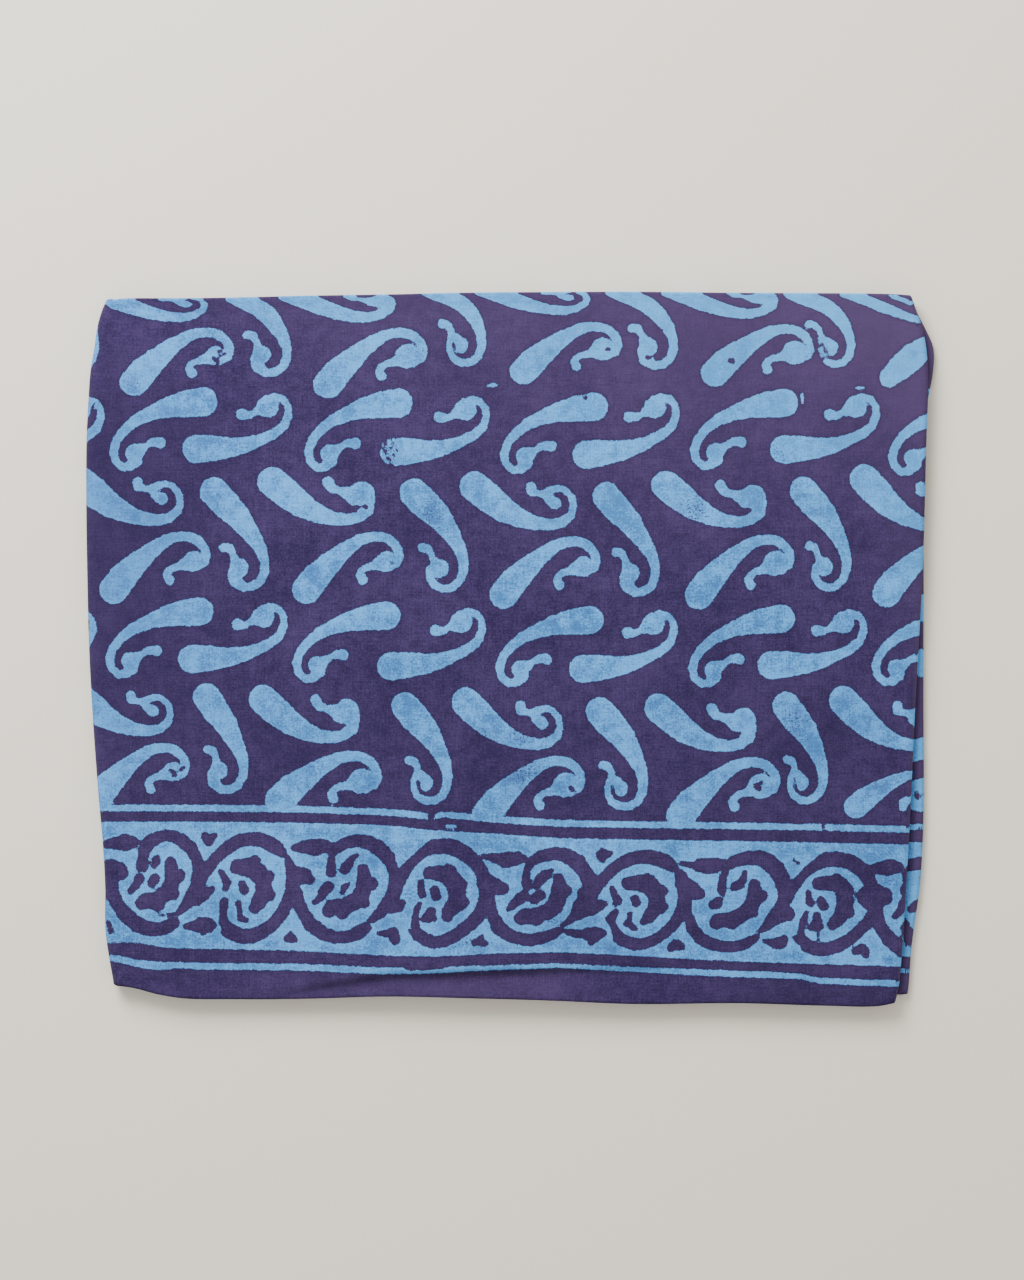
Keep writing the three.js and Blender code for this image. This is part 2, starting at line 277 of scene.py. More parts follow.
def middleSurface(u, v):
    # where a point of the flat cloth lies, with its place on the unfolded print (s, t)
    share, offset, reach, angle = sectionOf(v)
    out = {key: np.zeros_like(u) for key in ("x", "y", "z", "s", "t")}
    for number, run in enumerate(runs):
        start, end = alongStarts[number], alongStarts[number + 1]
        here = (u >= start) & ((u <= end) if run is runs[-1] else (u < end))
        if not here.any():
            continue
        a = (u[here] - start) / run["room"]
        a = 1 - a if run["flip"] else a
        b, off, over, turned = share[here], offset[here], reach[here], angle[here]
        if "panel" in run:
            panel = panels[run["panel"]]
            topX = panelX(panel, a, folds["topLevel"])
            y = columnY(panel, panelX(panel, a, folds["hemLevel"]), topX, b)
            x = panelX(panel, a, y)
            ox, oy = scaled(-slopeOf(topEdge, x), np.ones_like(x), over)
            up = panel["side"] * off
            ply = 2 * panel["level"] + (up > 0)
            px, py, pz = x + ox, y + oy, panelHeight(panel) + up + unevenness(ply, x, y)
            foldTop = columnY(panel, panelX(panel, a, folds["hemLevel"]), topX, np.ones_like(b))
            if run["panel"] == "front":
                s = x
            elif run["panel"] == "second":
                s = 2 * insideFront(y) + math.pi * foldTurn - x
            elif run["panel"] == "base":
                s = 2 * insideSpine(y) - math.pi * spineTurn - x
            else:
                s = behindFront(x, y)
        else:
            upper, lower = (panels[name] for name in run["turn"])
            edge, side = run["edge"], run["side"]
            theta = math.pi * a
            turnRadius = (panelHeight(upper) - panelHeight(lower)) / 2
            outward = side * turnRadius * np.sin(theta)
            ends = (edge(folds["hemLevel"]) + outward, edge(folds["topLevel"]) + outward)
            down = (1 - np.cos(theta)) / 2
            y, foldTop = (columnY(upper, *ends, at) * (1 - down) + columnY(lower, *ends, at) * down
                          for at in (b, np.ones_like(b)))
            lean = slopeOf(edge, y)
            topLean = -slopeOf(topEdge, edge(folds["topLevel"]))
            overLean = topLean + (lean - topLean) * np.sin(theta)
            ox, oy = scaled(overLean, np.ones_like(y), over)
            radius = turnRadius + off
            ax, ay = scaled(side * np.ones_like(y), -side * lean, radius * np.sin(theta))
            middle = (panelHeight(upper) + panelHeight(lower)) / 2
            px, py, pz = edge(y) + ax + ox, y + ay + oy, middle + radius * np.cos(theta)
            arc = turnRadius * theta
            if run["turn"] == ("front", "second"):
                s = insideFront(y) + arc
            elif run["turn"] == ("front", "base"):
                s = insideSpine(y) - arc
            else:
                s = 2 * insideSpine(y) - math.pi * spineTurn - insideRear(y) - (math.pi * turnRadius - arc)
        atFold = printHeight(foldTop, foldTop)
        t = np.where(turned <= 0, printHeight(y, foldTop), atFold + folds["hairpin"] * turned)
        t = np.where(turned >= math.pi, 2 * atFold + math.pi * folds["hairpin"] - printHeight(y, foldTop), t)
        for key, value in zip(("x", "y", "z", "s", "t"), (px, py, pz, s, t)):
            out[key][here] = value
    return out


def clothFace(u, v, lift):
    # a face of the cloth: lift is the distance from the middle, to the printed side
    step = 0.5
    here = middleSurface(u, v)
    ahead = middleSurface(np.minimum(u + step, clothRoom["along"]), v)
    behind = middleSurface(np.maximum(u - step, 0), v)
    above = middleSurface(u, np.minimum(v + step, clothRoom["across"]))
    below = middleSurface(u, np.maximum(v - step, 0))
    along = np.stack([ahead[k] - behind[k] for k in "xyz"], -1)
    across = np.stack([above[k] - below[k] for k in "xyz"], -1)
    normal = np.cross(along, across)
    normal /= np.linalg.norm(normal, axis=1)[:, None]
    place = np.stack([here[k] for k in "xyz"], -1) - normal * lift
    return place, here["s"], here["t"]


# the comma motifs, charted as tapered strokes: x, y, half width. a stroke of one
# row is a blob. two pairs of them share a body
hangingBody = [(-11.5, 27, 9.2), (-5, 20.5, 9.6), (4, 12, 8.2), (11.5, 2.2, 6.0), (17.5, -8, 4.2),
               (20, -16, 3.4), (20.2, -23, 3.0)]
dippingBody = [(-29.3, 8.5, 9.5), (-21, 1.8, 9.5), (-11.3, -6, 8.2), (-1, -11.6, 6.2), (9, -15, 4.5)]
motifs = {
    "rising": [
        [(-26.5, -14.5, 9.2), (-20.5, -6.5, 9.0), (-12.5, 1.5, 7.4), (-3.5, 9.7, 5.5), (7, 17, 3.9),
         (12.5, 19.0, 3.4), (18.5, 19.6, 3.2), (23, 19, 3.2), (26.8, 17.3, 3.2), (30, 14.4, 2.9),
         (32, 11, 2.9), (32.4, 7.5, 3.3), (30.5, 3.2, 3.8), (24.5, 3.5, 6.7), (15.5, 0.6, 2.7),
         (11, -0.7, 2.2), (8.4, -2.6, 2.3), (7.6, -5, 2.6), (9.3, -8.3, 3.2)],
    ],
    "hangingBall": [
        [(-14.5, 27.8, 9.3), (-8, 20.5, 9.2), (1, 11.5, 7.8), (8.8, 1, 5.7), (14.9, -8.2, 4.2),
         (17.8, -16, 3.1), (17.9, -23, 2.9), (15.4, -29.3, 2.9), (10.3, -33, 2.9), (4.6, -33.4, 3.0),
         (-0.8, -29.6, 4.1), (-1.6, -24.5, 4.4), (1.2, -21, 6.3), (-0.8, -17, 3.4), (-2.1, -12.5, 2.1),
         (-4.8, -8.3, 3.0), (-8.4, -7.9, 3.0)],
    ],
    "hangingSpiral": [
        [*hangingBody, (17.6, -29.4, 2.7), (12.3, -33.4, 2.6), (6, -33.6, 2.6), (0.8, -31, 2.4),
         (-1.8, -26.5, 2.1), (-2.4, -21.5, 1.9), (-1.2, -16.5, 2.0), (-0.4, -12.5, 2.1), (-2.5, -8.8, 2.6),
         (-6.4, -8, 3.0)],
        [(-0.6, -15, 2.4), (3.4, -18, 3.2), (6.4, -21.8, 4.4), (6.0, -24, 3.6)],
    ],
    "hangingCurl": [
        [*hangingBody, (18, -29, 2.7), (12.5, -34, 2.6), (6.5, -34.3, 2.6), (1.5, -31.8, 2.6),
         (-1.3, -27.5, 2.6), (0, -22.5, 3.9), (4.8, -21.3, 6.0), (0.2, -15, 2.0), (-0.5, -12, 2.0),
         (-2.5, -8.8, 2.6), (-6, -8, 3.2)],
    ],
    "lyingRight": [
        [(25.2, 18.3, 9.1), (14, 17.1, 8.2), (3.5, 15.2, 6.5), (-7, 11.8, 4.7), (-17.2, 7.3, 3.7),
         (-24.8, 1.4, 3.1), (-30, -4.9, 2.8), (-32.3, -12, 2.8), (-31.1, -18, 2.5), (-26.6, -22.2, 2.4),
         (-21.5, -21.4, 3.0), (-18.3, -17.4, 4.6), (-18.9, -13.3, 5.8), (-11.5, -9, 2.0), (-7.2, -6.3, 2.5),
         (-2.3, -6.8, 3.6)],
    ],
    "lyingLeft": [
        [(-25.5, -12.2, 9.1), (-15, -11.7, 8.2), (-4, -11.2, 6.5), (6, -9.5, 5.0), (16.2, -6, 3.6),
         (24.7, -2, 3.2), (30.5, 2.7, 2.9), (33.4, 9.6, 2.5), (33, 15.3, 2.2), (29.9, 19.9, 2.2),
         (24, 20.8, 3.1), (20.2, 15.2, 7.2), (11.5, 11.2, 2.0), (8, 9.4, 2.4), (3.5, 10, 3.8)],
    ],
    "dippingBall": [
        [*dippingBody, (18, -15.9, 3.7), (26.2, -14.3, 3.5), (31.2, -9.8, 4.4), (33, -3, 3.8),
         (28, 0.5, 8.3), (23.5, -0.3, 6.4), (14, 2.7, 2.3), (9, 4.2, 3.1), (6.4, 8.3, 3.6)],
    ],
    "dippingCurl": [
        [*dippingBody, (20.1, -16.2, 3.6), (27.1, -14.5, 3.3), (32.6, -10.2, 2.7), (34.3, -4.2, 2.3),
         (33.1, 1.3, 2.2), (29.1, 5.8, 2.1), (24.6, 7.4, 2.1), (19.6, 5.8, 2.6), (16.1, 3.8, 3.0),
         (12.1, 4, 2.0), (7.4, 5.3, 3.2), (7, 8.3, 3.2)],
        [(22.4, -2.4, 4.0), (18.1, 0.1, 3.0), (16.1, 3.8, 2.4)],
    ],
}

# the rising one again, with more mud in its ball and its tail drawn out
motifs["risingWide"] = [[*motifs["rising"][0][:13], (23.4, 4.0, 8.2), (14.6, 0.3, 2.9), (9.4, -1.2, 2.2),
                         (6.4, -3.4, 2.3), (5.4, -6.0, 2.7), (6.8, -9.2, 3.1)]]

# a hanging one with its tail drawn up, torn where it meets the next
motifs["hangingTorn"] = [[*motifs["hangingSpiral"][0][:14], (0.2, -14.0, 1.9), (-1.6, -8.2, 2.2), (-4.6, -5.0, 2.5),
                          (-8.2, -4.2, 2.8)], motifs["hangingSpiral"][1]]

# two at the upper right corner, where the print has slipped against the fold
motifs["cornerTail"] = [
    [(-22.2, 18.4, 7.8), (-14.2, 10.3, 5.9), (-0.6, 0.4, 5.1), (9, -4.8, 3.4), (18.6, -8.6, 2.2),
     (25, -11.4, 1.5)],
    [(4.2, 15.1, 2.6), (10.9, 10.7, 2.8), (15.4, 7.0, 2.4)],
]
motifs["edgeDrop"] = [[(-24.2, -13.5, 6.2), (-16.6, -6.9, 8.1), (-9.0, 0, 8.5), (-0.8, 6.2, 6.4), (8, 12, 3)]]

# the motifs as they were set down over the front panel, block by block, a little uneven:
# motif, x, y, and for some the turn in degrees, the width and the height beside the chart's
frontMotifs = [
    ("dippingCurl", -230.4, 229.4), ("dippingBall", -110.4, 228.8),
    ("dippingCurl", 14.4, 233.9), ("dippingBall", 134.4, 231.4),
    ("cornerTail", 240.0, 220.0),
    ("hangingCurl", -286.6, 213.2), ("hangingBall", -160.3, 208.4, -2, 0.98, 0.93),
    ("hangingSpiral", -38.6, 216.6, 3, 0.93, 1), ("hangingBall", 85.0, 213.8, 4, 0.98, 0.97),
    ("hangingTorn", 196.8, 213.2, 9, 0.88, 0.95),
    ("rising", -213.8, 184.6, 0, 1.03, 0.94), ("risingWide", -89.9, 183.7, 0, 1.03, 0.97),
    ("risingWide", 35.4, 189.8, -3, 1.0, 0.91), ("risingWide", 158.1, 188.2, -5, 1, 0.94),
    ("edgeDrop", 266.0, 187.5),
    ("lyingLeft", -295.7, 138.6), ("lyingRight", -222.1, 139.5, 0, 1, 1.04),
    ("lyingLeft", -175.7, 140.5), ("lyingRight", -97.3, 138.9, 0, 1, 1.03),
    ("lyingLeft", -49.3, 138.6), ("lyingRight", 27.8, 137.0),
    ("lyingLeft", 73.0, 138.6, 4), ("lyingRight", 149.4, 139.5),
    ("lyingLeft", 200.3, 140.2), ("lyingRight", 276.2, 135.8),
    ("dippingCurl", -245.8, 98.9), ("dippingBall", -123.5, 98.9),
    ("dippingCurl", 5.8, 96.0), ("dippingBall", 127.6, 96.9, 0, 0.98, 0.97),
    ("dippingCurl", 254.1, 97.0, -7),
    ("hangingBall", -175.4, 73.3), ("hangingCurl", -50.6, 73.3),
    ("hangingBall", 75.0, 70.1, 0, 0.96, 1), ("hangingCurl", 196.6, 74.2, -2, 0.93, 1),
    ("rising", -227.8, 52.8), ("rising", -104.3, 52.8),
    ("rising", 21.8, 49.6), ("risingWide", 146.2, 50.2, 2), ("rising", 266.8, 50.8),
    ("lyingLeft", -300.8, 2.9), ("lyingRight", -224.6, 6.1),
    ("lyingLeft", -178.6, 6.1), ("lyingRight", -105.0, 3.4),
    ("lyingLeft", -51.5, 2.2, 1.5), ("lyingRight", 25.0, 0.6),
    ("lyingLeft", 71.4, 0.6, 2), ("lyingRight", 148.0, 0.8, 1.5),
    ("lyingLeft", 192.3, 2.2), ("lyingRight", 265.6, 1.3),
    ("dippingCurl", -249.8, -37.0, 0, 0.93, 0.93), ("dippingBall", -131.2, -40.4, 0, 0.94, 1),
    ("dippingCurl", -1.3, -43.6, -3, 0.96, 1), ("dippingBall", 122.2, -46.0, 0, 0.95, 1),
    ("dippingCurl", 239.8, -43.6, -5, 0.96, 1),
    ("hangingBall", -185.2, -57.9, -9, 0.95, 0.93), ("hangingSpiral", -58.6, -63.4, -4, 0.96, 0.98),
    ("hangingSpiral", 66.0, -66.8, -5, 1.0, 0.98), ("hangingSpiral", 183.3, -63.2, -7, 0.93, 0.97),
    ("rising", -239.3, -81.4, 0, 0.95, 0.95), ("risingWide", -119.5, -85.4, -7, 1.02, 1),
    ("risingWide", 11.4, -90.8, 0, 1.02, 1), ("risingWide", 135.9, -91.6, 0, 1.03, 1),
    ("rising", 244.6, -93.2, -10, 0.84, 0.8),
]

# one block of the field for the rest of the cloth, two repeats wide: motif, x, y
blockMotifs = [
    ("dippingCurl", -17.9, 46.1), ("dippingBall", 104.3, 46.1), ("rising", 0, 0), ("rising", 123.5, 0),
    ("hangingBall", 52.5, 20.5), ("hangingCurl", 177.3, 20.5), ("lyingRight", 3.2, -46.7),
    ("lyingLeft", 49.3, -46.7), ("lyingRight", 126.1, -46.7), ("lyingLeft", 176.6, -48.6),
]
block = {"along": 246.4, "across": 134.4, "startX": -227.8, "startY": 52.8, "drift": 7.0, "slip": 3.0,
         "columns": range(-6, 4), "rows": range(-2, 6), "left": -310.0, "right": 290.0, "top": 262.0}

# drips of resist between the motifs: x, y to x, y, half width. the last one lies over the
# border's failures
drips = [
    (-14.7, 168.8, -9.2, 169.2, 1.3), (186.2, 163.2, 186.4, 158.0, 1.2), (221.4, 167.4, 225.6, 167.6, 1.2),
    (-41.2, -113.0, -35.6, -113.0, 1.3),
]

# where the resist failed or cracked off and the dye got in: x, y to x, y, half width
failures = [
    (-190.5, 186.5, -187.5, 184.5, 1.3), (-186.0, 187.8, -183.0, 189.2, 0.9),
    (-188.0, 190.5, -185.5, 191.0, 0.7),
    (61.5, 192.3, 62.6, 192.0, 1.2), (87.0, 187.0, 88.0, 186.4, 1.3), (140.3, 185.0, 141.8, 184.4, 1.6),
    (47.0, 161.4, 48.0, 161.0, 1.1), (-148.3, 151.6, -147.3, 151.2, 1.5), (-93.6, 91.6, -92.8, 91.2, 1.4),
    (-76.4, 55.6, -75.8, 55.2, 0.9), (157.0, -87.4, 158.6, -88.6, 2.0), (159.8, -85.6, 160.4, -84.8, 1.1),
    (-218.0, -77.0, -214.6, -79.4, 1.1), (-212.0, -77.4, -209.0, -75.6, 0.9),
    (-216.6, -80.6, -215.4, -81.0, 0.8),
    (38.0, -88.4, 39.6, -89.8, 1.4), (199.4, -113.2, 200.0, -113.5, 1.2),
    (192.4, 205.0, 193.6, 199.6, 0.8), (193.6, 199.6, 195.6, 190.5, 1.1), (195.6, 190.5, 198.0, 184.0, 1.2),
    (199.0, 185.6, 201.0, 186.4, 0.8), (196.6, 194.4, 199.6, 195.6, 0.7),
    (-51.4, -102.0, -50.8, -112.0, 1.9),
    (-81.4, 133.0, -80.4, 131.4, 1.1), (-80.8, 127.4, -80.0, 126.2, 0.9), (-79.4, 122.6, -77.6, 121.4, 1.0),
    (-76.2, 132.4, -75.2, 131.6, 0.9), (-77.4, 128.6, -76.6, 129.4, 0.7), (-75.6, 124.8, -74.6, 124.2, 0.7),
    (-83.6, 129.4, -83.0, 129.0, 0.9), (-73.4, 128.0, -72.8, 127.4, 0.6), (-78.4, 118.8, -76.8, 118.2, 0.8),
    (-257.7, -174.4, -255.6, -180.4, 1.7),
]

# what shows on the rear fold, past the front one: x, y to x, y, half width
rearLight = [
    (269.1, 167.0, 269.3, 161.4, 1.8), (263.4, 33.4, 263.8, 19.0, 2.6), (262.9, -2.5, 263.3, -15.5, 2.8),
    (257.0, -65.2, 265.0, -63.4, 7.2), (257.0, -89.6, 264.0, -87.6, 5.2), (256.4, -98.0, 263.5, -99.6, 4.6),
]
rearDark = [
    (260.0, -92.0, 261.6, -95.0, 1.4), (252.2, -138.8, 263.0, -137.2, 4.2),
    (257.6, -166.2, 260.8, -163.0, 3.0),
    (251.0, -175.4, 257.8, -190.0, 3.2),
]

# x, upper line, its half width, dark edge of the border, foot of the border, lower line,
# its half width
borderLines = [
    (-1000, -113.9, 2.1, -123.6, -197.2, -206.2, 1.6),
    (-700, -113.9, 2.1, -123.6, -197.2, -206.2, 1.6),
    (-420, -108.0, 2.2, -117.7, -197.3, -206.1, 1.6),
    (-300, -102.4, 2.2, -111.0, -191.4, -198.0, 2.2),
    (-272, -101.4, 2.4, -110.0, -188.4, -195.5, 2.0),
    (-256, -101.4, 2.4, -110.0, -187.6, -196.8, 2.2),
    (-237, -101.4, 2.4, -110.0, -187.8, -201.3, 2.5),
    (-225, -101.4, 2.4, -110.0, -190.4, -202.6, 2.9),
    (-213, -101.4, 2.4, -110.0, -191.2, -201.9, 2.1),
    (-199, -101.4, 2.4, -110.0, -191.6, -202.6, 2.2),
    (-135, -102.1, 2.4, -110.6, -192.9, -203.1, 2.3),
    (-84, -103.8, 2.4, -112.1, -195.4, -205.0, 2.2),
    (-69, -104.9, 2.4, -113.2, -195.8, -204.8, 2.1),
    (-66, -105.2, 2.4, -113.6, -195.9, -205.9, 1.2),
    (-54, -106.6, 2.4, -115.2, -196.1, -205.6, 1.2),
    (-50, -107.0, 2.2, -115.5, -196.1, -205.4, 1.2),
    (-44, -105.6, 2.0, -115.8, -195.9, -205.0, 1.4),
    (-40, -105.8, 2.1, -116.1, -195.8, -204.1, 2.0),
    (-12, -108.5, 2.5, -117.6, -194.2, -202.9, 1.6),
    (31, -111.2, 2.4, -120.6, -193.5, -201.7, 1.6),
    (83, -112.0, 2.4, -121.4, -196.1, -204.7, 1.8),
    (121, -112.4, 2.4, -122.0, -198.6, -206.6, 2.2),
    (172, -113.3, 2.4, -122.9, -200.5, -208.3, 2.1),
    (185, -113.6, 2.2, -123.1, -201.0, -209.2, 1.8),
    (197, -113.6, 2.5, -123.4, -201.4, -211.8, 2.0),
    (223, -114.4, 2.4, -124.0, -202.1, -213.0, 2.1),
    (272, -115.4, 2.4, -124.8, -203.7, -214.6, 2.2),
]

# the scroll border, dark strokes on the resisted band, charted wheel by wheel from each
# wheel's middle
wheels = {
    "first": [
        [(-5, 15.5, 4.0), (-4.3, 20, 2.9), (-4, 25.5, 3.8), (0, 31, 4.2), (5, 33.8, 3.6), (10, 35, 3.2),
         (15.5, 34.3, 3.6), (20.5, 31.8, 4.0), (26, 26.8, 4.0), (30, 20, 3.2), (32, 12, 4.5), (30.5, 3, 4.5),
         (28, -3, 4.6), (24, -8.5, 3.6), (20.5, -12, 2.4), (17.3, -15.6, 1.2)],
        [(-31, 12, 6), (-25.5, 6, 5), (-24, -2, 4.2), (-21, -9, 3.8), (-16, -15.5, 4.6), (-8.5, -22, 4.6),
         (0, -25, 4.3), (6, -25, 4.1), (11, -23.6, 4.1), (15, -20.8, 3.6)],
        [(-25, 13.5, 6.2), (-20, 12, 5.6), (-18, 10.7, 3.8)],
        [(-29, 29.5, 2.2), (-22, 30, 3.8), (-16, 30.5, 5.2), (-11, 30.6, 3.6), (-6.5, 30.5, 1.0)],
        [(13.2, 17.8, 3.3), (14, 12, 4.3), (14, 5, 4.6), (11.5, -1, 5.2), (4.5, -5.8, 4.8), (-4, -7.2, 4.4)],
        [(18.3, 9.2, 4.1)], [(14.8, -2.2, 3.9)], [(4.6, -9, 4.6)], [(-5, -8.4, 4.2)],
        [(4.5, 21, 1.6), (4, 18.8, 2.8), (2.7, 15.4, 1.6)],
        [(3, 7.3, 3.2), (1.2, 4, 2.6)],
        [(-7, 7.3, 3.1), (-8.6, 3.6, 2.3), (-12.5, -0.8, 1.9)],
        [(6, -15.8, 0.5), (13, -15.7, 0.7), (17.3, -15.6, 1.2)],
    ],
    "second": [
        [(-28.4, 3.4, 3.9), (-25.6, 9.4, 3.5), (-21, 15.6, 3.5), (-16.6, 21.4, 3.4), (-10, 27, 4.0),
         (-3, 31.5, 3.9), (4, 32.8, 4.0), (11, 32.5, 4.2), (17, 29.8, 4.5), (22, 26.5, 4.2),
         (24.6, 24.2, 3.2)],
        [(-30, -3.5, 6.6), (-24.5, -1.8, 4.2), (-20, 0.1, 2.0)],
        [(-37, -23.5, 1.4), (-32, -23, 3), (-27, -22.6, 4.8), (-22.5, -22.4, 4.6), (-18.5, -22.8, 1.5)],
        [(-25.3, -26.5, 2.2)],
        [(-12, -7.8, 2.8), (-12.7, -14, 2.1), (-12.4, -20, 2.6), (-9, -26, 4.8), (-2, -29.3, 4.6),
         (5, -29.8, 4.5), (12, -27, 4.1), (18.5, -22.5, 3.9), (24.5, -15.5, 3.9), (28.5, -8, 3.9),
         (31, 0, 3.5), (31.5, 8, 3.8), (30.3, 15, 3.0), (28.3, 20.5, 1.8)],
        [(-3.5, 14.8, 4.7), (4, 14.5, 5.8), (9.5, 11.5, 5.8), (13.3, 5, 4.7), (13.3, -2, 5.2),
         (9.8, -8, 4.6), (7.3, -11.8, 3.3)],
        [(7.6, 18.8, 3.4)], [(16.3, 8.8, 3.6)], [(16.8, -3, 3.8)],
        [(-14.2, 11.8, 1.5), (-12, 8, 2.1), (-10.3, 4.5, 2.5), (-11, 1.2, 1.9)],
        [(-0.8, 4, 2.2), (0.8, 0, 2.9)],
        [(-3, -8.5, 1.9), (-2, -13, 1.3), (-2.2, -18, 1.6), (1.5, -19, 1.8)],
        [(30.5, -28.3, 1.7), (28, -31.5, 1.8), (33, -31.5, 2.0)],
        [(-24.3, 34.3, 2.5), (-22, 31.3, 2.9), (-17.5, 35.2, 1.4)],
    ],
    "third": [
        [(-33, 27, 1.6), (-27, 27.5, 3.8), (-20, 27.3, 5.3), (-14, 28, 4.4), (-9, 27, 3.0), (-4, 28, 2.6)],
        [(-9, 11.5, 3.2), (-8.8, 18, 2.2), (-8.3, 23, 1.9), (-5, 26.8, 3.0), (1, 30.3, 3.5), (8, 31.8, 3.8),
         (15, 30.5, 4.3), (21.5, 26.8, 4.7), (27, 21.5, 4.3), (30.5, 14, 3.0), (31.5, 6, 3.0),
         (30.6, -1, 3.3), (27.5, -8, 4.0), (23, -14, 3.6), (18.3, -18.1, 2.3), (15, -20.2, 1.3)],
        [(-33, 10, 5), (-27, 9, 5.3), (-22.6, 6.8, 3.2)],
        [(-32, 0, 4), (-30, -8, 4), (-26, -15.5, 3.7), (-22, -22, 4.5), (-14, -27.8, 4.2), (-6, -30.3, 3.6),
         (2, -30, 3.6), (9, -27, 4.2), (13.2, -24, 3.4)],
        [(11.5, 13.2, 3.2), (12.5, 7, 4.7), (11.5, 0, 4.9), (8.5, -6, 5.4), (0, -10.5, 5.0),
         (-8.5, -11, 4.7)],
        [(17, 4, 4.0)], [(12.3, -8.2, 3.2)], [(-1.5, -14.2, 4.2)], [(-10.3, -13.3, 4.2)],
        [(7.2, 22.2, 1.1), (4, 19.5, 2.2), (1.5, 15.5, 3.2), (-0.5, 13, 2.9)],
        [(1.8, 4, 1.2), (-0.5, 1.5, 1.8), (-1.6, -1.2, 1.6)],
        [(-10.5, 2.3, 3.3), (-13.3, 0, 3.3), (-15, -4.2, 2.4), (-19.3, -7.8, 1.5)],
    ],
    "fourth": [
        [(-29, 0, 4.2), (-28, 4, 4.4), (-25, 10, 4.1), (-20.5, 16, 3.1), (-15.5, 21.5, 2.7), (-9, 26.5, 3.3),
         (-4, 29, 4.5), (3, 29.5, 4.7), (10, 28, 4.9), (16.5, 24.5, 4.7), (22, 19.5, 4.4), (26.5, 13.5, 4.1),
         (29, 6, 4.1), (29.5, -2, 4.3), (28.5, -9, 4.4), (24.5, -15.5, 4.1), (18, -21.5, 3.9),
         (10.5, -27, 3.9), (3, -31, 3.5), (-4, -32, 3.7), (-10.5, -29.5, 3.9), (-15.5, -24.5, 2.9),
         (-16, -18, 2.1), (-14.8, -11, 1.6), (-13, -7.5, 1.2)],
        [(-6, 31.8, 1.6)],
        [(-19.3, -24.3, 0.8), (-15, -28, 2.6)],
        [(-32, -9, 4.6), (-27, -8.6, 4.0), (-24, -6.4, 1.7)],
        [(-40, -26.3, 0.8), (-35, -26.5, 2.0), (-30, -26, 3.6), (-28.7, -30, 3.2)],
        [(-7, 12.3, 3.8), (-1, 12, 4.7), (5, 11.5, 5.8), (9, 6, 5.9), (10.8, 0, 5.3), (11, -6, 5.9),
         (5.5, -12.5, 4.2), (4.8, -15.8, 3.3)],
        [(12.8, 4.8, 4.3)], [(14, -6.5, 4.5)], [(5.3, 14.5, 3.4)],
        [(-12.2, 6.5, 1.7), (-12, 2, 2.2), (-11.6, -1.3, 2.5)],
        [(-3.7, 1, 2.9), (-2.5, -2.5, 3.0)],
        [(-5.7, -12.3, 2.9), (-7.5, -16, 3.1), (-10.5, -17, 1.9)], [(-3.8, -17, 1.7)],
        [(26.5, -28, 1.2), (25, -31, 2.6), (22, -32.3, 1.8)], [(25, -31, 2.6), (29, -32.3, 1.9)],
    ],
    "fifth": [
        [(-35.5, 25.6, 1.2), (-28.2, 24.5, 2.8), (-21, 23, 4.8), (-13.6, 24.3, 4.1), (-9.5, 24, 2.3),
         (-7, 22.5, 1.6)],
        [(-7, 4.6, 1.6), (-7.5, 8, 3.3), (-8, 14, 2.0), (-6.6, 18.5, 2.1), (-4.4, 22.3, 2.8), (1, 25.3, 3.5),
         (10.9, 27.4, 3.9), (17.5, 26.1, 4.4), (25.6, 21.3, 5.0), (29.7, 15.4, 4.5), (33.5, 9, 5.5),
         (33, 1, 5.0), (30, -5.5, 5.5), (25.5, -10.5, 4.5), (21.5, -14, 2.6), (17.5, -17, 1.6),
         (15, -18.2, 1.0)],
        [(-34, 9, 5.5), (-27, 5.9, 5.1), (-22.8, 5, 3.9)],
        [(-33, -1, 4.8), (-31.5, -7, 4.2), (-28.9, -12.8, 3.5), (-25.5, -19.6, 4.4), (-21.1, -23.2, 4.1),
         (-15.7, -26, 3.7), (-10.5, -27.3, 3.7), (-3.6, -27.5, 3.8), (3.5, -26, 3.5), (9.5, -23.8, 3.1),
         (13.5, -21.8, 2.2)],
        [(12.8, 11.3, 3.3), (13.6, 5.8, 4.8), (12.6, 0, 5.4), (10.8, -5.6, 5.2), (6, -9.6, 5.0),
         (-2, -12.4, 4.8), (-9.5, -12.8, 4.6)],
        [(18, 3.6, 3.2)], [(12.2, -8.2, 2.6)], [(-1.5, -14.3, 4.2)], [(-11.5, -14, 4.0)],
        [(8.6, 16.7, 1.0), (5, 14, 3.0), (1.4, 11.3, 3.3), (-0.9, 7.6, 2.4), (-2, 5.8, 1.2)],
        [(0.8, 0.8, 3.4), (-3, -1.8, 3.0)],
        [(-9.1, -0.1, 3.5), (-12.7, -1.9, 3.2), (-16.4, -5.5, 2.4), (-19.3, -8.3, 1.3)],
    ],
    "sixth": [
        [(-21.4, 33, 1.8), (-22.3, 30.5, 3.0), (-20.8, 27.5, 1.8)], [(-21.5, 30.5, 3.2), (-17.8, 31.2, 2.2),
         (-14.8, 32, 0.8)],
        [(-31, 5, 6), (-27.5, 8, 4.8), (-23.5, 11.6, 3.9), (-18, 18, 3.5), (-12, 23.4, 3.6), (-5, 27.2, 3.8),
         (2, 29.1, 4.1), (9, 29.3, 4.2), (15, 27.8, 4.7), (20.5, 25.5, 4.4), (24.3, 22.6, 3.2)],
        [(-34, -3, 6), (-28, -3, 5.2), (-23, -1.8, 3.6), (-19, -0.8, 1.5)],
        [(-44.3, -18.2, 1.3), (-40, -19.5, 2.4), (-35, -20, 2.2), (-31, -20, 3.8), (-26.4, -20.4, 4.8),
         (-21.8, -19.6, 3.0)],
        [(-28.3, -25, 2.0)],
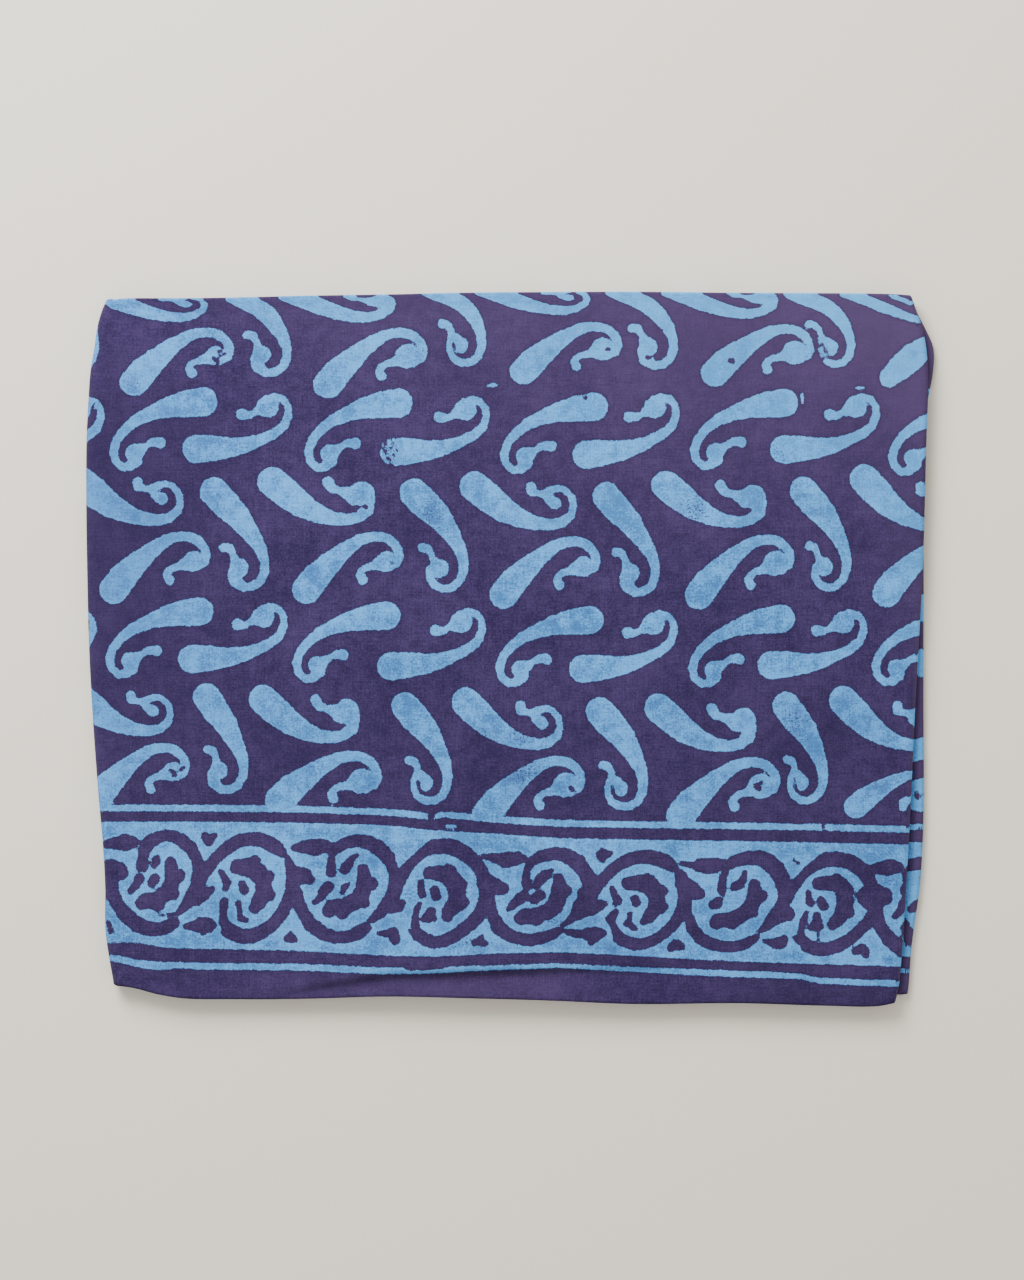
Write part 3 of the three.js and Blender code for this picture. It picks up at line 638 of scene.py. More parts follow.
        [(-12.3, -6, 1.8), (-15.7, -10.5, 3.0), (-14.4, -14.2, 1.8), (-12.7, -18, 2.4), (-9.8, -23.1, 3.8),
         (-2.3, -26.6, 3.7), (5.5, -26.5, 3.4), (12.3, -23.9, 3.2), (18.2, -20.2, 3.1), (23.4, -15.5, 3.4),
         (28, -9.2, 3.8), (31.5, -2, 4.3), (32, 5, 4.3), (31, 12, 3.8), (30, 17, 3.0), (29, 19.6, 1.6)],
        [(-4.3, 12.3, 4.2), (2, 12.6, 4.9), (8, 11.6, 6.3), (13.2, 7, 5.5), (14, 1, 4.8), (12.8, -4, 4.8),
         (8.8, -9.3, 3.7), (5.3, -12.5, 2.0)],
        [(17.5, 7.5, 3.3)], [(17, -2.8, 3.8)], [(8, 16.4, 2.4)],
        [(-14.8, 9, 1.6), (-13.3, 5, 1.9), (-11, 1, 2.6)], [(-13.5, -0.6, 1.2), (-11.5, -0.3, 1.6)],
        [(-0.4, 2.2, 2.6), (0.8, -0.3, 2.6)],
        [(-3.2, -7.5, 1.5), (-3.5, -11, 1.5), (-5.5, -13.5, 1.9)], [(-4, -13, 1.8), (-1.5, -16, 1.8),
         (0.5, -16.8, 1.2)],
        [(22.8, -29.3, 2.2), (24.8, -26.8, 2.6), (27.5, -25.5, 1.8)], [(25, -27, 2.6), (28.3, -28, 2.9),
         (29.8, -28.3, 1.8)],
    ],
    "seventh": [
        [(-33.5, 24.3, 1.2), (-26.4, 22.9, 1.9), (-22, 23, 4.2), (-16.5, 22.4, 5.0), (-11.2, 23, 4.4),
         (-7, 24, 3.0)],
        [(-7.5, 4.3, 1.4), (-7.7, 7.6, 2.7), (-7.5, 12.2, 2.5), (-6.6, 16.7, 2.0), (-5, 21.5, 2.4),
         (0.2, 25.6, 3.6), (9.3, 27.7, 4.2), (15.7, 27.7, 4.6), (21.1, 25.5, 5.2), (27, 20.7, 5.2),
         (31.1, 13.3, 5.1), (33, 6, 4.6), (31.5, -1, 3.6), (29, -6.5, 4.6), (25, -11.5, 4.2),
         (21.5, -15.3, 3.2), (17.5, -18.3, 1.6), (15.5, -19.6, 1.0)],
        [(30, -8, 5.4), (34.5, -8, 4.2)], [(36.3, -5.5, 1.6)], [(35.5, -10, 2.4)],
        [(-35, 17.5, 2.6), (-32.5, 11, 5), (-26.5, 6.4, 5.5), (-22.6, 4.9, 3.8)],
        [(-32.1, -1.5, 3.8), (-31.4, -6.9, 4.1), (-28.6, -11.5, 3.0), (-26.6, -17.6, 3.6),
         (-21.8, -23.5, 3.8), (-15.9, -27, 3.8), (-7.7, -29.1, 3.3), (0, -29.1, 3.3), (6.8, -27.5, 3.2),
         (12.3, -24.3, 2.5), (14.5, -22, 1.6)],
        [(13, 10.5, 3.4), (13.5, 5, 4.8), (12.3, -0.5, 4.8), (9.5, -5.3, 4.6), (3.5, -9.6, 4.8),
         (-4, -12, 4.2), (-10.5, -12.8, 4.6)],
        [(17.6, 3.4, 3.6)], [(13, -8, 2.2)], [(-1, -13.8, 4.0)], [(-11.7, -13.8, 3.8)],
        [(7, 17.8, 1.5), (6, 14, 2.2), (3.5, 10.6, 2.9), (0, 8.8, 2.4)],
        [(-8.8, 1, 1.8), (-11, -1.3, 3.5), (-13.6, -2.2, 2.7)],
    ],
    "eighth": [
        [(-21.5, 27, 1.0)], [(-18.8, 25.2, 0.9)],
        [(-41, -25, 1.0), (-37, -25.5, 1.8), (-33.5, -26.3, 3.4), (-30.3, -25.7, 4.0), (-27.8, -23.3, 2.2)],
        [(-28.4, -0.5, 3.4), (-26.6, 3.1, 4.3), (-24.5, 8, 4.6), (-19.2, 12.8, 2.9), (-16.2, 16.9, 2.5),
         (-12.4, 20.5, 2.9), (-6.8, 24.2, 3.4), (-1.4, 27.3, 4.5), (6, 27.7, 4.5), (12.3, 26.6, 4.6),
         (18, 23.8, 4.7), (23.2, 19.8, 4.5), (27, 13, 4.2), (29.8, 5, 4.0), (30.3, -3, 4.0), (29, -9, 4.5),
         (24.9, -13.8, 3.8), (21.3, -16.9, 3.5), (16.8, -21.4, 3.6), (12.3, -24.9, 3.7), (6.4, -28, 3.9),
         (-0.7, -30, 4), (-7.7, -29.8, 4.2), (-13.2, -27.6, 4.1), (-17.3, -23, 3.0), (-17, -17, 1.6),
         (-15.6, -12, 2.4), (-14, -8, 1.4), (-13.5, -6.3, 1.0)],
        [(-21.3, -22.2, 1.0), (-18, -24.5, 2.4)],
        [(-32, -8, 5.5), (-27, -7.5, 4.4), (-24.3, -5.8, 2.8)], [(-25.5, -9.5, 2.2)],
        [(-6, 12, 3.9), (0, 12.2, 4.4), (6, 12.3, 5.3), (10.5, 8, 5.4), (11.3, 1.5, 5.1), (10.5, -4.5, 5.2),
         (7.5, -10, 4.4), (3, -14.3, 3.2)],
        [(13.2, 6.8, 3.7)], [(13.2, -6.5, 3.8)], [(6, 15, 3.2)], [(2.6, -15.5, 2.2)],
        [(-12.3, 6.5, 1.4), (-12, 2, 2.2), (-10.8, -1, 2.2)],
        [(-4.3, 0.8, 2.9), (-2.5, -2.3, 2.9)],
        [(-7, -8.5, 2.2), (-6.5, -12, 2.8), (-8.5, -15, 3.2), (-11, -16, 1.6)], [(-5, -15.5, 2.2)],
        [(-6, -19, 0.5), (-6, -24, 0.5)],
        [(17.8, -31.3, 2.4), (21, -29.8, 2.8), (22.5, -28.5, 2.0)], [(21.5, -30, 2.8), (24.3, -30.5, 2.4),
         (24.3, -34, 2.0)],
    ],
}


# the wheels as they were set down: wheel, x, y
frontWheels = [
    ("fourth", -294.1, -155.2), ("first", -231.0, -153.9), ("second", -171.5, -153.9),
    ("third", -106.2, -153.9),
    ("fourth", -45.4, -155.2), ("fifth", 17.6, -157.8), ("sixth", 79.4, -161.8), ("seventh", 142.7, -161.0),
    ("eighth", 202.6, -161.8), ("first", 258.2, -169.9), ("second", 320.0, -169.0),
]
scroll = {"first": 0.0, "second": 59.5, "third": 124.8, "fourth": 185.6}
scrollRun = {"startX": -231.0, "y": -155.0, "turns": range(-6, 3), "left": -300, "right": 330}


def strokeDistance(x, y, strokes):
    # how far inside the nearest stroke a point lies, in mm. outside it is below 0
    best = np.full(x.shape, farOutside)
    for stroke in strokes:
        rows = stroke if len(stroke) > 1 else stroke * 2
        for (x0, y0, r0), (x1, y1, r1) in zip(rows, rows[1:]):
            dx, dy = x1 - x0, y1 - y0
            length = max(dx * dx + dy * dy, 1e-9)
            at = np.clip(((x - x0) * dx + (y - y0) * dy) / length, 0, 1)
            best = np.maximum(best, r0 + (r1 - r0) * at - np.hypot(x - x0 - at * dx, y - y0 - at * dy))
    return best


def along(column):
    at = np.array([row[0] for row in borderLines], float)
    value = np.array([row[column] for row in borderLines], float)
    return lambda s: np.interp(s, at, value)


upperLine, upperHalf, bandTop, bandFoot, lowerLine, lowerHalf = (along(k) for k in range(1, 7))


def insideMotif(motif, s, t):
    name, mx, my, *more = motif
    turn, wide, high = [*more, *(0, 1, 1)[len(more):]]
    c, d = math.cos(math.radians(turn)), math.sin(math.radians(turn))
    x, y = s - mx, t - my
    return strokeDistance((x * c + y * d) / wide, (y * c - x * d) / high, motifs[name])


def placedMotifs():
    # the front panel's own motifs, then the rest of the cloth in step with them
    placed = list(frontMotifs)
    for column in block["columns"]:
        for row in block["rows"]:
            slipX, slipY = chance.uniform(-1, 1) * block["slip"], chance.uniform(-1, 1) * block["slip"]
            for name, x, y in blockMotifs:
                x += block["startX"] + column * block["along"] + row * block["drift"] + slipX
                y += block["startY"] + row * block["across"] + slipY
                if x < block["left"] or x > block["right"] or y > block["top"]:
                    placed.append((name, x, y))
    return placed


def placedWheels():
    placed = list(frontWheels)
    for turn in scrollRun["turns"]:
        for name, x in scroll.items():
            x += scrollRun["startX"] + turn * block["along"]
            if x < scrollRun["left"] or x > scrollRun["right"]:
                placed.append((name, x, scrollRun["y"]))
    return placed


def onRearFold(rows):
    # marks given where they show, moved to where they lie on the flat cloth
    return [(behindFront(x0, y0), y0, behindFront(x1, y1), y1, half) for x0, y0, x1, y1, half in rows]


# the part of the rear fold that shows, which has its own marks and is kept clear of others
rearShown = {"xs": (255, 260, 265), "y": np.arange(-105.0, 215.0, 1.5), "wheelAt": (258, -155), "wheelClear": 38}


def clearOfRearFold(motif):
    y = rearShown["y"]
    return all(insideMotif(motif, behindFront(x, y), y).max() < 0 for x in rearShown["xs"])


clothMotifs = [motif for motif in placedMotifs() if clearOfRearFold(motif)]
clothWheels = [wheel for wheel in placedWheels()
               if abs(wheel[1] - behindFront(*rearShown["wheelAt"])) > rearShown["wheelClear"]]
rearLight, rearDark = onRearFold(rearLight), onRearFold(rearDark)


def marks(s, t, rows):
    best = np.full(s.shape, farOutside)
    for x0, y0, x1, y1, half in rows:
        near = (abs(s - x0) < 12) & (abs(t - y0) < 16)
        if near.any():
            stroke = [(x0, y0, half), (x1, y1, half)]
            best[near] = np.maximum(best[near], strokeDistance(s[near], t[near], [stroke]))
    return best


# how much wider than the charts the mud ran, the dye between it in the border, how much
# thinner the upper line came out, and how far from its middle a motif or wheel reaches
spread = {"motif": 0.1, "scroll": 0.25, "upperLine": -0.15, "reach": 48}


def resistAt(s, t):
    # mm inside the resisted, light parts of the print
    field = np.full(s.shape, farOutside)
    for motif in clothMotifs:
        near = (abs(s - motif[1]) < spread["reach"]) & (abs(t - motif[2]) < spread["reach"])
        if near.any():
            inside = insideMotif(motif, s[near], t[near]) + spread["motif"]
            field[near] = np.maximum(field[near], inside)
    field = np.maximum(field, marks(s, t, drips[:-1] + rearLight))
    upper, lower = upperLine(s), lowerLine(s)
    field = np.minimum(field, t - upper)
    field = np.maximum(field, upperHalf(s) + spread["upperLine"] - abs(t - upper))
    field = np.maximum(field, lowerHalf(s) - abs(t - lower))
    band = np.minimum(bandTop(s) - t, t - bandFoot(s))
    near = band > -3
    dark = np.full(s.shape, farOutside)
    for name, wx, wy in clothWheels:
        close = near & (abs(s - wx) < spread["reach"])
        if close.any():
            inside = strokeDistance(s[close] - wx, t[close] - wy, wheels[name])
            dark[close] = np.maximum(dark[close], inside)
    field = np.maximum(field, np.minimum(band, -dark - spread["scroll"]))
    field = np.minimum(field, -marks(s, t, failures + rearDark))
    return np.maximum(field, marks(s, t, drips[-1:]))


def gridPoints(u0, u1, v0, v1, step):
    us = np.linspace(u0, u1, max(2, round((u1 - u0) / step) + 1))
    vs = np.linspace(v0, v1, max(2, round((v1 - v0) / step) + 1))
    return np.stack(np.meshgrid(us, vs), -1).reshape(-1, 2)


def thinned(points, gap, kept):
    # leaves out points that come too near one kept before
    cells = {}
    for p in kept:
        cells.setdefault((int(p[0] // gap), int(p[1] // gap)), []).append(p)
    out = []
    for p in points:
        cx, cy = int(p[0] // gap), int(p[1] // gap)
        close = any((q[0] - p[0]) ** 2 + (q[1] - p[1]) ** 2 < gap * gap
                    for i in (-1, 0, 1) for j in (-1, 0, 1) for q in cells.get((cx + i, cy + j), ()))
        if not close:
            cells.setdefault((cx, cy), []).append(p)
            out.append(p)
    return out


def printGradient(points):
    def at(du, dv):
        place = middleSurface(points[:, 0] + du, points[:, 1] + dv)
        return resistAt(place["s"], place["t"])
    here = at(0, 0)
    gu, gv = (at(0.4, 0) - at(-0.4, 0)) / 0.8, (at(0, 0.4) - at(0, -0.4)) / 0.8
    return here, gu, gv


def outlinePoints(u0, u1, v0, v1, step, ring):
    # points on the outline of the print, and a ring of them on each side of it
    points = gridPoints(u0, u1, v0, v1, step * 0.8)
    here = middleSurface(points[:, 0], points[:, 1])
    points = points[abs(resistAt(here["s"], here["t"])) < step]
    for _ in range(2):
        value, gu, gv = printGradient(points)
        size = np.maximum(gu * gu + gv * gv, 0.3)
        move = np.clip(value / size, -step, step)
        points = points - np.stack([move * gu, move * gv], -1)
    value, gu, gv = printGradient(points)
    good = abs(value) < 0.25
    points, gu, gv = points[good], gu[good], gv[good]
    size = np.maximum(np.hypot(gu, gv), 0.3)
    aside = np.stack([gu / size, gv / size], -1) * ring

    def inside(p):
        return p[(p[:, 0] > u0) & (p[:, 0] < u1) & (p[:, 1] > v0) & (p[:, 1] < v1)]

    return inside(points), inside(np.concatenate([points + aside, points - aside]))


# how far apart the points of the printed side stand: on the print's outline, from there to the
# ring on each side of it, between points of the ring, and over the plain cloth
meshSteps = {
    "front": {"span": (alongStarts[2], alongStarts[3]), "outline": 1.7, "ring": 1.25, "ringGap": 1.03, "plain": 4.0},
    "base": {"span": (alongStarts[4], alongStarts[5]), "outline": 3.0, "ring": 1.6, "ringGap": 1.95, "plain": 8.0},
}
frontSpan, baseSpan = meshSteps["front"]["span"], meshSteps["base"]["span"]
rearTurnStart = alongStarts[6]

# the border's lines on the base: how far up the ply, the line, its half width, the edge of the
# border beside it, and how far outside the line the last row of points stands
baseLines = [(105.0, upperLine, upperHalf, bandTop, 5.0), (18.0, lowerLine, lowerHalf, bandFoot, -4.0)]


def linePoints(u0, u1, step):
    # rows of points along the border's lines on the base, which are thin for its triangles
    us = np.arange(u0 + 2, u1 - 2, step)
    low, high = (middleSurface(us, np.full(len(us), v))["y"] for v in (0.0, plyRoom))
    rows = []
    for v, lineAt, halfAt, bandAt, out in baseLines:
        s = middleSurface(us, np.full(len(us), v))["s"]
        line, half, band = lineAt(s), halfAt(s), bandAt(s)
        way = 1 if out > 0 else -1
        near = line - way * half
        rows += [line + out, line + way * half, line, near, (near + band) / 2, band, band - way * 2.5]
    return np.concatenate([np.stack([us, plyRoom * (t - low) / (high - low)], -1) for t in rows])


def edgeLines():
    # lines that the triangles must follow: the ends of each run and of the hairpin
    us = np.unique(np.concatenate([
        np.linspace(a, b, max(2, round((b - a) / (4 if n in (2, 3, 4) else 16)) + 1))
        for n, (a, b) in enumerate(zip(alongStarts, alongStarts[1:]))]))
    vs = np.unique(np.concatenate([
        np.linspace(0, plyRoom, 112), np.linspace(plyRoom, plyRoom + hairpinRoom, 7),
        np.linspace(plyRoom + hairpinRoom, clothRoom["across"], 29)]))
    return us, vs


def facePoints(fine):
    us, vs = edgeLines()
    kept, lines, seen = [], [], {}
    acrossLines = [0.0, *np.linspace(plyRoom, plyRoom + hairpinRoom, 7), clothRoom["across"]]
    alongLines = [0.0]
    for n, run in enumerate(runs):
        steps = 1 if "panel" in run else (8 if run["radius"] == spineTurn else 6)
        alongLines += list(np.linspace(alongStarts[n], alongStarts[n + 1], steps + 1)[1:])

    def number(p):
        key = (round(p[0], 4), round(p[1], 4))
        if key not in seen:
            seen[key] = len(kept)
            kept.append((float(p[0]), float(p[1])))
        return seen[key]

    def fill(points, gap):
        kept.extend(thinned([tuple(p) for p in points], gap, kept))

    for v in acrossLines:
        row = [number((u, v)) for u in us]
        lines += list(zip(row, row[1:]))
    for u in alongLines:
        row = [number((u, v)) for v in vs]
        lines += list(zip(row, row[1:]))
    if fine:
        fill(linePoints(*baseSpan, 3.0), 1.2)
        for name, steps in meshSteps.items():
            u0, u1 = steps["span"]
            on, beside = outlinePoints(u0, u1, 0, plyRoom, steps["outline"], steps["ring"])
            fill(on, steps["outline"] * 0.72)
            fill(beside, steps["ringGap"])
            fill(gridPoints(u0 + 2, u1 - 2, 2, plyRoom - 2, steps["plain"]), steps["plain"] * 0.55)
            if name == "front":
                # the hem's wrinkle, and the steep part of it
                fill(gridPoints(u0 + 2, u1 - 2, 1.5, 62, 2.4), 1.5)
                fill(gridPoints(u0 + 40, u1 - 120, 5, 24, 1.5), 1.0)
        # what shows of the rear fold
        fill(gridPoints(rearTurnStart - 13, rearTurnStart + 11, 1.5, plyRoom - 2, 2.0), 1.2)
    rest = [(alongStarts[n], alongStarts[n + 1]) for n, run in enumerate(runs) if "panel" in run]
    for u0, u1 in rest:
        for v0, v1 in ((0, plyRoom), (plyRoom + hairpinRoom, clothRoom["across"])):
            if fine and v0 == 0 and u0 in (frontSpan[0], baseSpan[0]):
                continue
            if not fine and v0 == 0 and u0 == frontSpan[0]:
                # the inside of the top ply follows its wrinkles
                fill(gridPoints(u0 + 3, u1 - 3, 3, 58, 4), 2.4)
                fill(gridPoints(u0 + 4, u1 - 4, 62, v1 - 4, 8), 4)
                continue
            fill(gridPoints(u0 + 8, u1 - 8, v0 + 8, v1 - 8, 16), 7)
    return kept, lines


def triangulated(points, lines):
    done = delaunay_2d_cdt([Vector(p) for p in points], lines, [], 0, 1e-4)
    flat = np.array([tuple(p) for p in done[0]])
    return flat, [tuple(f) for f in done[2]]


def clothMesh():
    half = folds["thickness"] / 2
    faces, places, coords, isPrinted, rims = [], [], [], [], []
    start = 0
    wide, top = clothRoom["along"], clothRoom["across"]
    for fine, lift in ((True, half), (False, -half)):
        flat, tris = triangulated(*facePoints(fine))
        place, s, t = clothFace(flat[:, 0], flat[:, 1], lift)
        # the printed side looks away from the normal of the flat cloth
        faces += [tuple(start + i for i in (tri[::-1] if fine else tri)) for tri in tris]
        places.append(place)
        coords.append(np.stack([s, t], -1))
        isPrinted.append(np.full(len(flat), 1.0 if fine else 0.0))
        rims.append({(round(u, 3), round(v, 3)): start + i for i, (u, v) in enumerate(flat)
                     if min(u, v) < 1e-3 or u > wide - 1e-3 or v > top - 1e-3})
        start += len(flat)
    # a strip of quads closes the two faces along each selvedge and cut end
    outer, inner = rims
    for fixed, axis, forward in ((0.0, 1, True), (top, 1, False), (0.0, 0, False), (wide, 0, True)):
        keys = sorted((k for k in outer if abs(k[axis] - fixed) < 1e-3), key=lambda k: k[1 - axis])
        for a, b in zip(keys, keys[1:]):
            quad = (outer[a], outer[b], inner[b], inner[a])
            faces.append(quad if forward else quad[::-1])
    place = np.concatenate(places)
    place[:, 0] -= folds["centreX"]
    place[:, 1] -= folds["centreY"]
    return place, faces, np.concatenate(coords), np.concatenate(isPrinted)


# painted light and shade, with some fading of the dye: paler at the top, the upper right and the
# rear fold, deeper (below 0) at the left and the lower right, and both in bands along the hem: x, y,
# half width, half height, how much
paintedLightAndFadeSpots = [
    (262, 250, 170, 120, 0.75), (-40, 240, 260, 60, 0.35), (60, 140, 130, 70, 0.14),
    (-270, 80, 80, 150, -0.55),
    (200, -60, 130, 60, -0.2), (-150, -60, 150, 50, -0.15), (-40, -217, 110, 14, 0.4),
    (200, -222, 120, 12, -0.35),
    (262, 20, 24, 200, 0.25), (-205, -150, 60, 60, 0.12), (150, -170, 160, 30, -0.12),
    (-40, -180, 130, 14, -0.3),
]

# where the mud was thin or rubbed, so that the print is mottled: x, y, half width, half
# height, how much
wornSpots = [
    (-79, 126, 8, 9, 1.0), (171, 124, 7, 8, 0.7), (-51, 86, 11, 14, 0.7), (181, -46, 11, 14, 0.8),
    (9, -80, 16, 12, 0.8),
    (-240, 170, 9, 9, 0.6), (-57, 191, 7, 8, 0.7), (-116, 172, 9, 9, 0.4), (-77, 165, 8, 8, 0.4),
    (-27, -187, 26, 7, 0.7),
    (28, -176, 14, 12, 0.7), (-246, -189, 18, 4, 1.0), (40, -150, 12, 10, 0.4), (70, -190, 20, 8, 0.4),
    (-188, -130, 12, 10, 0.5), (-146, 152, 8, 7, 0.6), (-240, -150, 10, 12, 0.5), (112, -72, 12, 7, 0.4),
    (158, -86, 10, 8, 0.5), (146, 185, 9, 7, 0.3), (196, 192, 9, 9, 0.6), (120, 84, 9, 7, 0.6),
    (-20, -52, 12, 8, 0.4),
    (12, -56, 22, 6, 0.7), (116, 92, 12, 8, 0.7), (182, 103, 8, 10, 0.6),
    (230, -85, 12, 10, 0.4), (-90, -150, 14, 12, 0.5), (200, -176, 9, 9, 0.5), (76, -140, 16, 10, 0.3),
]


def spotted(coords, spots):
    amount = np.zeros(len(coords))
    for x, y, wide, high, much in spots:
        amount += much * np.exp(-((coords[:, 0] - x) / wide) ** 2 - ((coords[:, 1] - y) / high) ** 2)
    return amount


# how pale the folds are made, at the front one a painted highlight along the crest with rubbed dye, at the rear one
# painted light that lifts the shade it lies in: how much, how far in from the fold and how wide
foldPaling = {"front": {"much": 0.9, "in": 2.0, "wide": 1.2}, "rear": {"much": 1.1, "in": 2.0, "wide": 5.5}}


def foldWearAndLight(coords):
    # the front fold is paler along its lower part, a painted highlight with rubbed dye, and the rear one all along,
    # most at the top, painted light on a fold that lies in shade
    s, t = coords[:, 0], coords[:, 1]
    front, rear = foldPaling["front"], foldPaling["rear"]
    atFront = (s - insideFront(t) - front["in"]) / front["wide"]
    atRear = (s - behindFront(rearFoldEdge(t) - rear["in"], t)) / rear["wide"]
    return (front["much"] * np.exp(-atFront ** 2) * ease(t, 90, 30)
            + rear["much"] * np.exp(-atRear ** 2) * (0.6 + 0.4 * ease(t, 100, 160)))


place, faces, coords, printed = clothMesh()
mesh = bpy.data.meshes.new("foldedCloth")
mesh.from_pydata([tuple(p) for p in place * mm], [], faces)
mesh.validate()
uv = mesh.uv_layers.new(name="flatCloth")
corner = np.zeros(len(mesh.loops), np.int32)
mesh.loops.foreach_get("vertex_index", corner)
uv.data.foreach_set("uv", (coords[corner] * mm).astype(np.float32).ravel())
resist = np.where(printed > 0.5, resistAt(coords[:, 0], coords[:, 1]), -9.0)
# the fade attribute holds painted light and shade, with some fading of the dye, and the paler folds
perPoint = {"resist": np.clip(resist, -9, 9), "printedSide": printed,
            "fadeAndPaintedLight": spotted(coords, paintedLightAndFadeSpots) + foldWearAndLight(coords), "worn": spotted(coords, wornSpots)}
for name, amount in perPoint.items():
    mesh.attributes.new(name, "FLOAT", "POINT").data.foreach_set("value", amount.astype(np.float32))
mesh.polygons.foreach_set("use_smooth", np.ones(len(mesh.polygons), bool))
cloth = bpy.data.objects.new("foldedCloth", mesh)
bpy.context.scene.collection.objects.link(cloth)
triangles = sum(len(f) - 2 for f in faces)
print(f"cloth: {len(place)} points, {triangles} triangles")


def group(name, inputs, outputs):
    # a node group with its sockets, its inputs given as name, kind, value
    tree = bpy.data.node_groups.new(name, "ShaderNodeTree")
    for label, kind, value in inputs:
        made = tree.interface.new_socket(label, in_out="INPUT", socket_type="NodeSocket" + kind)
        if value is not None:
            made.default_value = value
    for label, kind in outputs:
        tree.interface.new_socket(label, in_out="OUTPUT", socket_type="NodeSocket" + kind)
    return tree, tree.nodes.new("NodeGroupInput").outputs, tree.nodes.new("NodeGroupOutput").inputs


def put(tree, socket, value):
    if isinstance(value, tuple):
        socket.default_value = (*value, 1) if len(socket.default_value) == 4 else value
    elif isinstance(value, (int, float)):
        socket.default_value = value
    else:
        tree.links.new(value, socket)


def calc(tree, kind, a, b=0.0, clamp=False):
    node = tree.nodes.new("ShaderNodeMath")
    node.operation, node.use_clamp = kind, clamp
    put(tree, node.inputs[0], a)
    put(tree, node.inputs[1], b)
    return node.outputs[0]


def total(tree, first, *rest):
    for value in rest:
        first = calc(tree, "ADD", first, value)
    return first


def ramp(tree, value, low, high):
    node = tree.nodes.new("ShaderNodeMapRange")
    node.interpolation_type = "SMOOTHSTEP"
    for label, at in (("Value", value), ("From Min", low), ("From Max", high)):
        put(tree, node.inputs[label], at)
    return node.outputs["Result"]


def moved(tree, place, offset=(0.0, 0.0, 0.0), scale=(1.0, 1.0, 1.0)):
    node = tree.nodes.new("ShaderNodeMapping")
    put(tree, node.inputs["Vector"], place)
    put(tree, node.inputs["Location"], offset)
    put(tree, node.inputs["Scale"], scale)
    return node.outputs["Vector"]


def noise(tree, place, scale, detail=2.0, rough=0.5, colour=False):
    # around 0, about -0.25 to 0.25
    node = tree.nodes.new("ShaderNodeTexNoise")
    for label, value in (("Vector", place), ("Scale", scale), ("Detail", detail), ("Roughness", rough)):
        put(tree, node.inputs[label], value)
    return node.outputs["Color"] if colour else calc(tree, "SUBTRACT", node.outputs["Fac"], 0.5)


def pushed(tree, place, scale, reach):
    # the place moved about by a slow noise
    node = tree.nodes.new("ShaderNodeVectorMath")
    node.operation = "MULTIPLY_ADD"
    for socket, value in zip(node.inputs, (noise(tree, place, scale, 2.0, colour=True), (reach, reach, 0.0), place)):
        put(tree, socket, value)
    return node.outputs[0]


def mixed(tree, share, a, b):
    node = tree.nodes.new("ShaderNodeMix")
    node.data_type = "RGBA"
    for at, value in ((0, share), (6, a), (7, b)):
        put(tree, node.inputs[at], value)
    return node.outputs[2]


def brightened(tree, colour, by):
    node = tree.nodes.new("ShaderNodeVectorMath")
    node.operation = "SCALE"
    put(tree, node.inputs[0], colour)
    put(tree, node.inputs["Scale"], by)
    return node.outputs[0]


def weaveGroup():
    # plain weave, place in mm: how high the threads stand, and where the gaps between them are
    tree, given, made = group("plainWeave", [("Place", "Vector", None), ("Threads", "Float", 2.2),
                                             ("Slubs", "Float", 1.0)], [("Height", "Float"), ("Gap", "Float")])
    parts = tree.nodes.new("ShaderNodeSeparateXYZ")
    tree.links.new(pushed(tree, given["Place"], 0.11, 2.4), parts.inputs[0])
    turns = calc(tree, "MULTIPLY", given["Threads"], math.pi)
    warp = calc(tree, "SINE", calc(tree, "MULTIPLY", parts.outputs["X"], turns))
    weft = calc(tree, "SINE", calc(tree, "MULTIPLY", parts.outputs["Y"], turns))
    threads = calc(tree, "ADD", calc(tree, "ABSOLUTE", warp), calc(tree, "ABSOLUTE", weft))
    along = noise(tree, moved(tree, given["Place"], scale=(0.05, 1.3, 1.0)), 1.0)
    across = noise(tree, moved(tree, given["Place"], (40.0, 7.0, 0.0), (1.3, 0.05, 1.0)), 1.0)
    slub = calc(tree, "MULTIPLY", calc(tree, "ADD", along, across), given["Slubs"])
    over = calc(tree, "MULTIPLY", calc(tree, "MULTIPLY", warp, weft), 0.35)
    tree.links.new(total(tree, over, calc(tree, "MULTIPLY", threads, 0.3), slub), made["Height"])
    tree.links.new(ramp(tree, threads, 0.75, 0.2), made["Gap"])
    return tree


def mudEdgeGroup():
    # the ragged edge the mud paste leaves, from the clean distance to the outline in mm
    tree, given, made = group("mudEdge", [("Distance", "Float", 0.0), ("Place", "Vector", None),
                                          ("Wander", "Float", 0.4), ("Bite", "Float", 0.4)],
                              [("Light", "Float"), ("Rim", "Float"), ("Halo", "Float")])
    slow = calc(tree, "MULTIPLY", noise(tree, given["Place"], 0.3), given["Wander"])
    ragged = noise(tree, moved(tree, given["Place"], (13.0, 4.0, 0.0)), 1.15, 2.0, 0.6)
    quick = calc(tree, "MULTIPLY", ragged, given["Bite"])
    depth = total(tree, given["Distance"], calc(tree, "MULTIPLY", slow, 5.0),
                  calc(tree, "MULTIPLY", quick, 5.0), -0.2)
    light = ramp(tree, depth, -0.26, 0.26)
    tree.links.new(light, made["Light"])
    tree.links.new(calc(tree, "MULTIPLY", ramp(tree, depth, 2.2, 0.5), light), made["Rim"])
    tree.links.new(ramp(tree, depth, -2.4, -0.3), made["Halo"])
    return tree


